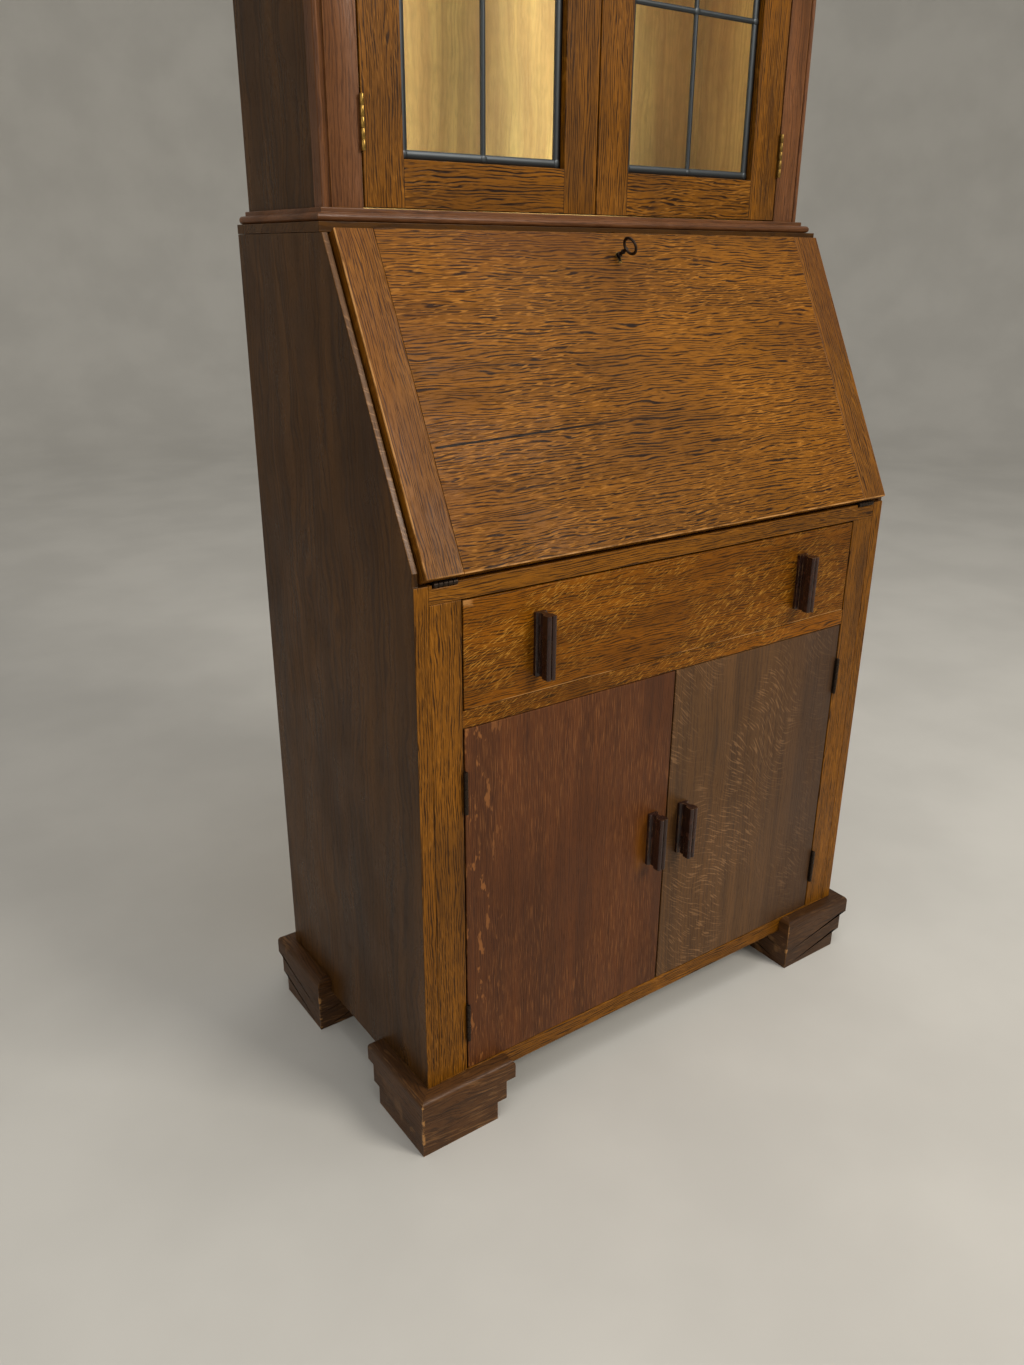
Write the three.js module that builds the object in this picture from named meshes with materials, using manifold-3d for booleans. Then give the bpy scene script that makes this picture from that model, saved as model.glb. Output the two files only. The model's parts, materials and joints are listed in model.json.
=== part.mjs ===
// Oak secretary desk: a bureau with a sloping fall, one long drawer and a cupboard,
// with a glazed bookcase standing on it.
// Millimetres, +Z up, front facing -Y. The origin is the middle of the overall box, on the floor.
import * as THREE from "three";
import { mergeVertices } from "three/addons/utils/BufferGeometryUtils.js";
import Module from "manifold-3d";

// ---- driving dimensions: bureau ----
const CARCASS_WIDTH = 760;
const CARCASS_DEPTH = 385;
const SIDE_THICKNESS = 18;
const BOTTOM_THICKNESS = 24;
const RAIL_TOP = 727; // top of the rail that the fall is hinged to
const TOP_RAIL_HEIGHT = 21;
const TOP_RAIL_DEPTH = 40;
const DRAWER_OPENING = 129;
const DRAWER_RAIL_HEIGHT = 21;
const STILE_WIDTH = 40;
const STILE_DEPTH = 20;
const DESK_RISE = 347; // from the rail's top to the top of the bureau
const BUREAU_TOP_THICKNESS = 10;
const TOP_SETBACK = 170; // front edge of the bureau's top board, back from the front plane
const LIP_SETBACK = 2; // the sides above the rail stand this far back
const LIP_RISE = 15; // upright stretch of the sides between the rail top and the slope
const LIP_WIDTH = 7; // part of each side that shows beside the fall
const BACK_THICKNESS = 6;
const BED_THICKNESS = 18;
const BED_LAP = 28; // how far the writing bed lies over the top rail
const SHELF_THICKNESS = 16;
const SHELF_SETBACK = 5; // shelf fronts behind the frame in front of them
const CUPBOARD_SHELF_RISE = 218; // underside of the shelf above the bottom board
const FRAME_RUNNER_WIDTH = 70;
const DRAWER_GUIDE_HEIGHT = 26;
const DRAWER_GUIDE_WIDTH = 16;

// ---- driving dimensions: fall ----
const FALL_THICKNESS = 20;
const FALL_PROUD = 9; // outer face of the fall above the slope of the sides
const CLAMP_WIDTH = 46;
const KNUCKLE_RADIUS = 3;
const LEAF_THICKNESS = 1.5;
const FALL_HINGE_LENGTH = 30;
const FALL_HINGE_INSET = 38; // hinge middle in from the side's outer face
const FALL_LEAF_REACH = 24;
const LOCK_WIDTH = 62;
const LOCK_HEIGHT = 42;
const LOCK_DEPTH = 11;
const LOCK_BACKSET = 28; // keyhole down from the fall's top edge
const BOLT_WIDTH = 26;
const BOLT_LENGTH = 24;
const BOLT_THICKNESS = 5;
const BOLT_TRAVEL = 8;
const KEY_SHANK_RADIUS = 2.2;
const KEY_SHANK_OUT = 17; // shank outside the fall's face
const KEY_BOW_RADIUS = 9.5;
const KEY_BOW_STRETCH = 1.2; // width over height of the oval bow
const KEY_BOW_TURN = 22; // degrees round the shank
const KEY_WIRE_RADIUS = 1.6;
const STAY_SLACK = 0.3; // each arm over half the distance between the open stay's pivots
const STAY_WIDTH = 12;
const STAY_THICKNESS = 2.5;
const STAY_POST_DEPTH = 140; // the stay's pivot on the side, back from the front plane
const STAY_POST_RISE = 43; // and above the rail's top
const STAY_UP_FALL = 140; // the other pivot, up the fall from its foot
const STAY_OFF_FALL = 8; // and in from the fall's inner face

// ---- driving dimensions: feet, drawer, cupboard ----
const FOOT_HEIGHT = 81;
const FOOT_REBATE = 23; // how far the carcass stands down into the feet
const FOOT_LENGTH = 140;
const FOOT_PROUD = 21;
const FOOT_BREADTH = 44;
const FOOT_STEP = 14;
const FOOT_TIERS = 3;
const FOOT_ROUNDING = 8;
const DRAWER_FRONT_THICKNESS = 20;
const DRAWER_SIDE_THICKNESS = 11;
const DRAWER_SIDE_HEIGHT = 104;
const DRAWER_BACK_ROOM = 34; // behind the closed drawer
const DRAWER_BOTTOM_THICKNESS = 5;
const DRAWER_BOTTOM_RISE = 9;
const DOOR_THICKNESS = 18;
const BUTT_LENGTH = 54;
const BUTT_LOW = 46; // lower cupboard hinge's bottom end above the door's foot
const BUTT_HIGH = 51; // upper cupboard hinge's top end below the door's head
const HANDLE_HEIGHT = 76;
const HANDLE_WIDTH = 13;
const HANDLE_PROUD = 26;
const HANDLE_NECK_WIDTH = 6;
const HANDLE_FOOT_WIDTH = 15.3;
const HANDLE_FOOT_PROUD = 4.4;
const HANDLE_NECK_FROM = 6.2; // the neck's narrow stretch, from and to this far in front of the face
const HANDLE_NECK_TO = 13;
const HANDLE_LIP = 15.5; // where the head reaches its full width
const DRAWER_HANDLE_INSET = 103; // handle middle in from the end of the drawer opening
const DRAWER_HANDLE_DROP = 4; // handle middle below the drawer front's middle
const DOOR_HANDLE_X = 27;
const DOOR_HANDLE_RISE = 238.8; // handle middle above the door's foot

// ---- driving dimensions: pigeonholes ----
const PIGEON_SIDE_ROOM = 22; // between the unit and each side, for the folded stays
const PIGEON_HEADROOM = 117; // between the unit and the bureau's top board
const PIGEON_DEPTH = 160;
const PIGEON_BOARD = 8;
const PIGEON_BAYS = 5;
const PIGEON_SHELVED_BAYS = [1, 3];

// ---- driving dimensions: bookcase ----
const BOOKCASE_INSET = 16; // case sides in from the bureau's sides
const BOOKCASE_SETBACK = 20; // case front back from the front edge of the bureau's top
const BOOKCASE_HEIGHT = 897; // from the bureau's top to the bookcase's top
const BOARD_THICKNESS = 18;
const BASE_BOARD_THICKNESS = 14;
const NOSE_HEIGHT = 9;
const NOSE_PROUD = 13;
const LEDGE_PROUD = 5;
const TOP_BOARD_THICKNESS = 18;
const TOP_BOARD_PROUD = 14;
const TOP_BOARD_ROUNDING = 6;
const LEDGE_ROUNDING = 1;
const FACE_FRAME_DEPTH = 20;
const FACE_STILE_WIDTH = 47;
const HEAD_HEIGHT = 42;
const BEAD_RADIUS = 3.5;
const QUIRK_WIDTH = 3.5;
const QUIRK_DEPTH = 3;
const BOOK_SHELF_RISE = 400;
const GLASS_FRAME_WIDTH = 48;
const GLASS_FRAME_THICKNESS = 20;
const GLASS_REBATE = 5;
const GLASS_LIP = 9;
const GLASS_THICKNESS = 3;
const CAME_WIDTH = 6;
const CAME_PROUD = 2;
const BORDER_CAME = 9;
const PANE_COLUMNS = 2;
const PANE_ROWS = 4;
const GLASS_HINGE_LENGTH = 53;
const GLASS_HINGE_LOW = 53; // lower glass-door hinge above the door's foot
const GLASS_HANDLE_RISE = 380;

// ---- clearances ----
const JOINT_GAP = 0.3; // between pieces that are glued or screwed together
const RUNNING_GAP = 0.8; // between pieces that move past each other
const DOOR_GAP = 1.2;
const DRAWER_GAP = 2.2; // beside and above the drawer's front
const HINGE_GAP = 2.4; // between a door's hinged edge and its frame
const FALL_FOOT_GAP = 0.8;
const FALL_HEAD_GAP = 2;
const FALL_SIDE_GAP = 3;
const CUT_PAST = 5; // how far a cutting solid runs past what it cuts
const ROUND_SEGMENTS = 20;

// ---- worked out from the above ----
const HALF = CARCASS_WIDTH / 2;
const INNER = HALF - SIDE_THICKNESS;
const OPENING = INNER - STILE_WIDTH;
const CARCASS_BASE = FOOT_HEIGHT - FOOT_REBATE;
const BOTTOM_TOP = CARCASS_BASE + BOTTOM_THICKNESS;
const BUREAU_HEIGHT = RAIL_TOP + DESK_RISE;
const TOP_RAIL_FOOT = RAIL_TOP - TOP_RAIL_HEIGHT;
const DRAWER_RAIL_TOP = TOP_RAIL_FOOT - DRAWER_OPENING;
const DRAWER_RAIL_FOOT = DRAWER_RAIL_TOP - DRAWER_RAIL_HEIGHT;
const SIDE_TOP = BUREAU_HEIGHT - BUREAU_TOP_THICKNESS - JOINT_GAP;
const SLOPE_FOOT = new THREE.Vector2(LIP_SETBACK, RAIL_TOP + LIP_RISE);
const SLOPE = Math.atan2(BUREAU_HEIGHT - SLOPE_FOOT.y, TOP_SETBACK - SLOPE_FOOT.x);
const FALL_INNER = FALL_PROUD - FALL_THICKNESS; // inner face's height above the slope, so below zero
const REBATE_FLOOR = FALL_INNER - RUNNING_GAP;
const FALL_HALF = HALF - LIP_WIDTH - FALL_SIDE_GAP;
const FALL_FOOT = fallFootAlongSlope();
const FALL_HEAD = alongSlope(TOP_SETBACK, SIDE_TOP + JOINT_GAP) - FALL_HEAD_GAP;
const FALL_PIVOT = new THREE.Vector2(0, RAIL_TOP);
const BED_TOP = FALL_PIVOT.y + openFallRise();
const BACK_FRONT = CARCASS_DEPTH - BACK_THICKNESS;
const DRAWER_BACK = BACK_FRONT - DRAWER_BACK_ROOM;
const BOOK_HALF = HALF - BOOKCASE_INSET;
const BOOK_FRONT = TOP_SETBACK + BOOKCASE_SETBACK;
const BOOK_BASE = BUREAU_HEIGHT + BASE_BOARD_THICKNESS;
const BOOK_TOP = BUREAU_HEIGHT + BOOKCASE_HEIGHT - TOP_BOARD_THICKNESS;
const BOOK_OPENING = BOOK_HALF - FACE_STILE_WIDTH;
const HEAD_FOOT = BOOK_TOP - JOINT_GAP - HEAD_HEIGHT;
const BOX_FRONT = -Math.max(FOOT_PROUD, HANDLE_PROUD);
const BOX_BACK = CARCASS_DEPTH + FOOT_PROUD;

// ---- finishes ----
const OAK = finish("#8a5a2b", 0.45);
const DARK_OAK = finish("#3d2a1c", 0.4);
const BROWN_OAK = finish("#5a3620", 0.42);
const PLAIN_WOOD = finish("#c79a5b", 0.6);
const HANDLE_WOOD = finish("#2a1a14", 0.35);
const BRASS = finish("#b08d4a", 0.35, 0.9);
const STEEL = finish("#4a4744", 0.4, 0.9);
const LEADED_GLASS = finish("#8fa0a8", 0.15, 0.1);

function finish(color, roughness, metalness = 0) {
  return new THREE.MeshStandardMaterial({ color, roughness, metalness });
}

// ---- the slope ----
// Distance up the slope of a point given by depth and height.
function alongSlope(y, z) {
  return (y - SLOPE_FOOT.x) * Math.cos(SLOPE) + (z - SLOPE_FOOT.y) * Math.sin(SLOPE);
}

// Depth and height of a point given by its distance up the slope and above it.
function onSlope(along, above) {
  return new THREE.Vector2(
    SLOPE_FOOT.x + along * Math.cos(SLOPE) - above * Math.sin(SLOPE),
    SLOPE_FOOT.y + along * Math.sin(SLOPE) + above * Math.cos(SLOPE),
  );
}

// The point at a given height on a line parallel to the slope.
function slopeAtHeight(z, above) {
  const along = (z - SLOPE_FOOT.y - above * Math.cos(SLOPE)) / Math.sin(SLOPE);
  return onSlope(along, above);
}

// The fall's square-cut foot starts where its inner corner stands just clear of the rail.
function fallFootAlongSlope() {
  const rise = RAIL_TOP + FALL_FOOT_GAP - SLOPE_FOOT.y;
  return (rise - FALL_INNER * Math.cos(SLOPE)) / Math.sin(SLOPE);
}

// Height of the open fall's inner face above its pivot.
function openFallRise() {
  const corner = onSlope(FALL_FOOT, FALL_INNER).sub(FALL_PIVOT);
  const turn = Math.PI - SLOPE;
  return corner.x * Math.sin(turn) + corner.y * Math.cos(turn);
}

// ---- solids ----
const wasm = await Module();
wasm.setup();

function solid(geometry) {
  const bare = geometry.clone();
  bare.deleteAttribute("normal");
  bare.deleteAttribute("uv");
  const merged = mergeVertices(bare, 1e-4);
  return new wasm.Manifold(
    new wasm.Mesh({
      numProp: 3,
      vertProperties: merged.getAttribute("position").array,
      triVerts: new Uint32Array(merged.index.array),
    }),
  );
}

function geometryOf(manifold) {
  const mesh = manifold.getMesh();
  const geometry = new THREE.BufferGeometry();
  geometry.setAttribute("position", new THREE.BufferAttribute(mesh.vertProperties, 3));
  geometry.setIndex(new THREE.BufferAttribute(mesh.triVerts, 1));
  geometry.computeVertexNormals();
  return geometry;
}

function block(x0, x1, y0, y1, z0, z1) {
  const geometry = new THREE.BoxGeometry(x1 - x0, y1 - y0, z1 - z0);
  geometry.translate((x0 + x1) / 2, (y0 + y1) / 2, (z0 + z1) / 2);
  return geometry;
}

function blockSolid(...limits) {
  return solid(block(...limits));
}

function outline(points) {
  return new THREE.Shape(points.map(([a, b]) => new THREE.Vector2(a, b)));
}

// A depth-and-height outline run across the desk from x0 to x1.
function acrossX(shape, x0, x1) {
  const geometry = new THREE.ExtrudeGeometry(shape, { depth: x1 - x0, bevelEnabled: false });
  const turn = new THREE.Matrix4().makeBasis(
    new THREE.Vector3(0, 1, 0),
    new THREE.Vector3(0, 0, 1),
    new THREE.Vector3(1, 0, 0),
  );
  return geometry.applyMatrix4(turn).translate(x0, 0, 0);
}

// A plan outline run up from z0 to z1.
function upZ(shape, z0, z1, rounding = 0) {
  const geometry = new THREE.ExtrudeGeometry(shape, {
    depth: z1 - z0 - 2 * rounding,
    bevelEnabled: rounding > 0,
    bevelThickness: rounding,
    bevelSize: rounding,
    bevelOffset: -rounding,
    bevelSegments: 4,
  });
  return geometry.translate(0, 0, z0 + rounding);
}

// A round bar along X.
function barX(radius, x0, x1, y, z) {
  const geometry = new THREE.CylinderGeometry(radius, radius, x1 - x0, ROUND_SEGMENTS);
  return geometry.rotateZ(Math.PI / 2).translate((x0 + x1) / 2, y, z);
}

// A round bar along Z.
function barZ(radius, x, y, z0, z1) {
  const geometry = new THREE.CylinderGeometry(radius, radius, z1 - z0, ROUND_SEGMENTS);
  return geometry.rotateX(Math.PI / 2).translate(x, y, (z0 + z1) / 2);
}

function rectangle(x0, x1, y0, y1) {
  return outline([
    [x0, y0],
    [x1, y0],
    [x1, y1],
    [x0, y1],
  ]);
}

// ---- the scene graph ----
const desk = new THREE.Group();
const frame = new THREE.Group();
frame.position.y = -(BOX_FRONT + BOX_BACK) / 2;
desk.add(frame);

const fallFrame = new THREE.Group();
fallFrame.position.set(0, SLOPE_FOOT.x, SLOPE_FOOT.y);
fallFrame.rotation.x = SLOPE;
frame.add(fallFrame);
fallFrame.updateMatrix();

function piece(name, shape, material, parent = frame) {
  const geometry = shape.isBufferGeometry ? shape : geometryOf(shape);
  const mesh = new THREE.Mesh(geometry, material.clone());
  mesh.name = name;
  parent.add(mesh);
  return mesh;
}

const SIDES = [
  { side: "left", sign: -1 },
  { side: "right", sign: 1 },
];

// X limits of a piece that runs from a to b out from the middle, on either side.
function spanX(sign, a, b) {
  return sign < 0 ? [-b, -a] : [a, b];
}

// ---- bureau carcass ----
function sideOutline(above, lipSetback) {
  const slopeFoot = above === 0 ? SLOPE_FOOT : slopeAtHeight(RAIL_TOP, above);
  const slopeHead = slopeAtHeight(SIDE_TOP, above);
  const points = [
    [0, CARCASS_BASE],
    [CARCASS_DEPTH, CARCASS_BASE],
    [CARCASS_DEPTH, SIDE_TOP],
    [slopeHead.x, slopeHead.y],
    [slopeFoot.x, slopeFoot.y],
  ];
  if (lipSetback > 0) points.push([lipSetback, RAIL_TOP]);
  points.push([0, RAIL_TOP]);
  return outline(points);
}

// Each side is one board: a lip of full height outside, rebated inside for the fall.
function bureauSide({ side, sign }) {
  const lip = acrossX(sideOutline(0, LIP_SETBACK), ...spanX(sign, HALF - LIP_WIDTH, HALF));
  const inside = acrossX(sideOutline(REBATE_FLOOR, 0), ...spanX(sign, INNER, HALF - LIP_WIDTH));
  piece(`side_${side}`, solid(lip).add(solid(inside)), DARK_OAK);
}

function stile({ side, sign }) {
  const [x0, x1] = spanX(sign, OPENING, INNER - JOINT_GAP);
  const z0 = BOTTOM_TOP + JOINT_GAP;
  piece(`stile_${side}`, block(x0, x1, 0, STILE_DEPTH, z0, TOP_RAIL_FOOT - JOINT_GAP), OAK);
}

function topRail() {
  const reach = INNER - JOINT_GAP;
  let rail = blockSolid(-reach, reach, 0, TOP_RAIL_DEPTH, TOP_RAIL_FOOT, RAIL_TOP);
  for (const { sign } of SIDES) {
    const middle = sign * (HALF - FALL_HINGE_INSET);
    const x0 = middle - FALL_HINGE_LENGTH / 2 - JOINT_GAP;
    const x1 = middle + FALL_HINGE_LENGTH / 2 + JOINT_GAP;
    const leafFloor = leafLevel() - JOINT_GAP;
    const knuckleFloor = RAIL_TOP - KNUCKLE_RADIUS - RUNNING_GAP;
    const knuckleBack = KNUCKLE_RADIUS + RUNNING_GAP;
    const up = RAIL_TOP + CUT_PAST;
    rail = rail.subtract(blockSolid(x0, x1, -CUT_PAST, FALL_LEAF_REACH + JOINT_GAP, leafFloor, up));
    rail = rail.subtract(blockSolid(x0, x1, -CUT_PAST, knuckleBack, knuckleFloor, up));
  }
  piece("top_rail", rail, OAK);
}

// Underside of the fall hinge's leaf, let into the rail's top.
function leafLevel() {
  return RAIL_TOP - JOINT_GAP - LEAF_THICKNESS;
}

// Front rail, side runners with guides, and back rail: one glued frame under the drawer.
function drawerFrame() {
  const reach = INNER - JOINT_GAP;
  const front = OPENING - JOINT_GAP;
  const runnerFront = STILE_DEPTH + JOINT_GAP;
  const back = BACK_FRONT - JOINT_GAP;
  const hole = reach - FRAME_RUNNER_WIDTH;
  const plate = (x0, x1, y0, y1) => blockSolid(x0, x1, y0, y1, DRAWER_RAIL_FOOT, DRAWER_RAIL_TOP);
  let body = plate(-front, front, 0, TOP_RAIL_DEPTH);
  body = body.add(plate(-reach, reach, runnerFront, back));
  body = body.subtract(
    blockSolid(-hole, hole, TOP_RAIL_DEPTH, back - TOP_RAIL_DEPTH, CARCASS_BASE, RAIL_TOP),
  );
  for (const { sign } of SIDES) {
    const inner = OPENING + RUNNING_GAP;
    const [x0, x1] = spanX(sign, inner, inner + DRAWER_GUIDE_WIDTH);
    const top = DRAWER_RAIL_TOP + DRAWER_GUIDE_HEIGHT;
    body = body.add(blockSolid(x0, x1, runnerFront, back, DRAWER_RAIL_TOP - CUT_PAST, top));
  }
  piece("drawer_frame", body, OAK);
}

function bureauBoards() {
  const reach = INNER - JOINT_GAP;
  const back = BACK_FRONT - JOINT_GAP;
  piece("bottom_board", block(-reach, reach, 0, back, CARCASS_BASE, BOTTOM_TOP), OAK);
  const shelf = BOTTOM_TOP + CUPBOARD_SHELF_RISE;
  const shelfFront = STILE_DEPTH + SHELF_SETBACK;
  const board = block(-reach, reach, shelfFront, back, shelf, shelf + SHELF_THICKNESS);
  piece("cupboard_shelf", board, PLAIN_WOOD);
  piece("bureau_back", block(-reach, reach, BACK_FRONT, CARCASS_DEPTH, CARCASS_BASE, SIDE_TOP), PLAIN_WOOD);
}

// The bed lies over the rail and stops just behind the closed fall.
function writingBed() {
  const lapFoot = RAIL_TOP + JOINT_GAP;
  const nose = slopeAtHeight(lapFoot, REBATE_FLOOR);
  const noseTop = slopeAtHeight(BED_TOP, REBATE_FLOOR);
  const lapBack = TOP_RAIL_DEPTH + JOINT_GAP;
  const lapFront = Math.max(nose.x, TOP_RAIL_DEPTH - BED_LAP);
  const back = BACK_FRONT - JOINT_GAP;
  const shape = outline([
    [lapFront, lapFoot],
    [lapBack, lapFoot],
    [lapBack, BED_TOP - BED_THICKNESS],
    [back, BED_TOP - BED_THICKNESS],
    [back, BED_TOP],
    [lapFront + noseTop.x - nose.x, BED_TOP],
  ]);
  piece("writing_bed", acrossX(shape, -(INNER - JOINT_GAP), INNER - JOINT_GAP), OAK);
}

// The bolt's path, in the fall's own frame.
function boltBlock(clearance, head) {
  const middle = FALL_INNER + LOCK_DEPTH / 2;
  const half = BOLT_THICKNESS / 2 + clearance;
  const x = BOLT_WIDTH / 2 + clearance;
  return block(-x, x, FALL_HEAD - BOLT_LENGTH - clearance, head, middle - half, middle + half);
}

function bureauTop() {
  const board = blockSolid(
    -HALF, HALF, TOP_SETBACK, CARCASS_DEPTH, BUREAU_HEIGHT - BUREAU_TOP_THICKNESS, BUREAU_HEIGHT,
  );
  const mortise = boltBlock(RUNNING_GAP, FALL_HEAD + BOLT_TRAVEL + RUNNING_GAP);
  mortise.applyMatrix4(fallFrame.matrix);
  piece("bureau_top", board.subtract(solid(mortise)), DARK_OAK);
}

// ---- feet ----
// Plan of one tier: two arms from a mitred corner at the front left.
function footPlan(length) {
  return outline([
    [0, 0],
    [length, 0],
    [length, FOOT_BREADTH],
    [FOOT_BREADTH, FOOT_BREADTH],
    [FOOT_BREADTH, length],
    [0, length],
  ]);
}

function footBlank() {
  const tier = FOOT_HEIGHT / FOOT_TIERS;
  const past = FOOT_LENGTH + CUT_PAST;
  const topTier = blockSolid(-CUT_PAST, past, -CUT_PAST, past, FOOT_HEIGHT - tier, FOOT_HEIGHT);
  let body = solid(upZ(footPlan(FOOT_LENGTH), FOOT_HEIGHT - 2 * tier, FOOT_HEIGHT, FOOT_ROUNDING));
  body = body.intersect(topTier);
  for (let level = 0; level < FOOT_TIERS - 1; level += 1) {
    const length = FOOT_LENGTH - (FOOT_TIERS - 1 - level) * FOOT_STEP;
    body = body.add(solid(upZ(footPlan(length), level * tier, (level + 1) * tier)));
  }
  return body;
}

// All four feet are the same bracket, set the same way round and rebated for the carcass.
function feet() {
  const left = -HALF - FOOT_PROUD;
  const right = HALF + FOOT_PROUD - FOOT_LENGTH;
  const front = -FOOT_PROUD;
  const back = CARCASS_DEPTH + FOOT_PROUD - FOOT_LENGTH;
  const carcass = blockSolid(
    -HALF - JOINT_GAP, HALF + JOINT_GAP, -JOINT_GAP, CARCASS_DEPTH + JOINT_GAP,
    CARCASS_BASE - JOINT_GAP, FOOT_HEIGHT + CUT_PAST,
  );
  const places = {
    foot_front_left: [left, front],
    foot_front_right: [right, front],
    foot_back_left: [left, back],
    foot_back_right: [right, back],
  };
  for (const [name, [x, y]] of Object.entries(places)) {
    piece(name, footBlank().translate([x, y, 0]).subtract(carcass), BROWN_OAK);
  }
}

// ---- fall ----
function fallPanel() {
  const inner = FALL_HALF - CLAMP_WIDTH;
  const middle = FALL_HEAD - LOCK_BACKSET;
  let panel = blockSolid(-inner, inner, FALL_FOOT, FALL_HEAD, FALL_INNER, FALL_PROUD);
  const x = LOCK_WIDTH / 2 + JOINT_GAP;
  const foot = FALL_HEAD - LOCK_HEIGHT - JOINT_GAP;
  const floor = FALL_INNER + LOCK_DEPTH + JOINT_GAP;
  panel = panel.subtract(
    blockSolid(-x, x, foot, FALL_HEAD + CUT_PAST, FALL_INNER - CUT_PAST, floor),
  );
  panel = panel.subtract(
    solid(barZ(KEY_SHANK_RADIUS + RUNNING_GAP, 0, middle, FALL_INNER, FALL_PROUD + CUT_PAST)),
  );
  piece("fall_panel", panel, OAK, fallFrame);
  for (const { side, sign } of SIDES) {
    const [x0, x1] = spanX(sign, inner + JOINT_GAP, FALL_HALF);
    const clamp = block(x0, x1, FALL_FOOT, FALL_HEAD, FALL_INNER, FALL_PROUD);
    piece(`fall_clamp_${side}`, clamp, OAK, fallFrame);
  }
}

function fallLock() {
  const x = LOCK_WIDTH / 2;
  const top = FALL_INNER + LOCK_DEPTH;
  const middle = FALL_HEAD - LOCK_BACKSET;
  let lock = blockSolid(-x, x, FALL_HEAD - LOCK_HEIGHT, FALL_HEAD, FALL_INNER, top);
  lock = lock.subtract(solid(boltBlock(RUNNING_GAP / 2, FALL_HEAD + CUT_PAST)));
  const keyhole = barZ(
    KEY_SHANK_RADIUS + RUNNING_GAP, 0, middle, FALL_INNER + LEAF_THICKNESS, top + CUT_PAST,
  );
  lock = lock.subtract(solid(keyhole));
  piece("fall_lock", lock, BRASS, fallFrame);
  piece("lock_bolt", boltBlock(0, FALL_HEAD), STEEL, fallFrame);
}

// Bow ring, shank and bit, standing on the keyhole's axis.
function key() {
  const middle = FALL_HEAD - LOCK_BACKSET;
  const tip = FALL_INNER + LEAF_THICKNESS + RUNNING_GAP;
  const shoulder = FALL_PROUD + KEY_SHANK_OUT;
  const bow = new THREE.TorusGeometry(KEY_BOW_RADIUS - KEY_WIRE_RADIUS, KEY_WIRE_RADIUS, 8, 28);
  bow.rotateY(Math.PI / 2).scale(1, KEY_BOW_STRETCH, 1).rotateZ((KEY_BOW_TURN * Math.PI) / 180);
  bow.translate(0, middle, shoulder + KEY_BOW_RADIUS - 2 * KEY_WIRE_RADIUS);
  const body = solid(barZ(KEY_SHANK_RADIUS, 0, middle, tip, shoulder)).add(solid(bow));
  piece("key", body, STEEL, fallFrame);
}

function fallHinge({ side, sign }) {
  const middle = sign * (HALF - FALL_HINGE_INSET);
  const x0 = middle - FALL_HINGE_LENGTH / 2;
  const x1 = middle + FALL_HINGE_LENGTH / 2;
  const knuckle = solid(barX(KNUCKLE_RADIUS, x0, x1, FALL_PIVOT.x, FALL_PIVOT.y));
  const z0 = leafLevel();
  const leaf = blockSolid(x0, x1, FALL_PIVOT.x, FALL_LEAF_REACH, z0, z0 + LEAF_THICKNESS);
  piece(`fall_hinge_${side}`, knuckle.add(leaf), STEEL);
}

// ---- folding stays ----
// A flat bar with round ends from its pivot along +Y, lying in a plane across X.
function stayBar(length) {
  const radius = STAY_WIDTH / 2;
  const shape = new THREE.Shape();
  shape.absarc(length, 0, radius, -Math.PI / 2, Math.PI / 2, false);
  shape.absarc(0, 0, radius, Math.PI / 2, (3 * Math.PI) / 2, false);
  const geometry = new THREE.ExtrudeGeometry(shape, {
    depth: STAY_THICKNESS,
    bevelEnabled: false,
    curveSegments: 8,
  });
  const turn = new THREE.Matrix4().makeBasis(
    new THREE.Vector3(0, 1, 0),
    new THREE.Vector3(0, 0, 1),
    new THREE.Vector3(1, 0, 0),
  );
  return geometry.applyMatrix4(turn);
}

// Two arms a side, folded down behind the closed fall, meeting at an elbow.
function stays() {
  const post = new THREE.Vector2(STAY_POST_DEPTH, RAIL_TOP + STAY_POST_RISE);
  const eye = onSlope(FALL_FOOT + STAY_UP_FALL, FALL_INNER - STAY_OFF_FALL);
  const openEye = eye.clone().rotateAround(FALL_PIVOT, Math.PI - SLOPE);
  const length = openEye.distanceTo(post) / 2 + STAY_SLACK;
  const across = eye.clone().sub(post);
  const drop = Math.sqrt(length ** 2 - (across.length() / 2) ** 2);
  const down = new THREE.Vector2(across.y, -across.x).normalize().multiplyScalar(drop);
  const elbow = post.clone().add(eye).multiplyScalar(0.5).add(down);
  for (const { side, sign } of SIDES) {
    const outer = INNER - RUNNING_GAP;
    const middle = outer - STAY_THICKNESS - RUNNING_GAP;
    const arms = [
      { name: `stay_arm_${side}`, from: post, out: outer },
      { name: `stay_link_${side}`, from: eye, out: middle },
    ];
    for (const { name, from, out } of arms) {
      const mesh = piece(name, stayBar(length), BRASS);
      mesh.position.set(spanX(sign, out - STAY_THICKNESS, out)[0], from.x, from.y);
      mesh.rotation.x = Math.atan2(elbow.y - from.y, elbow.x - from.x);
    }
  }
}

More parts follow.
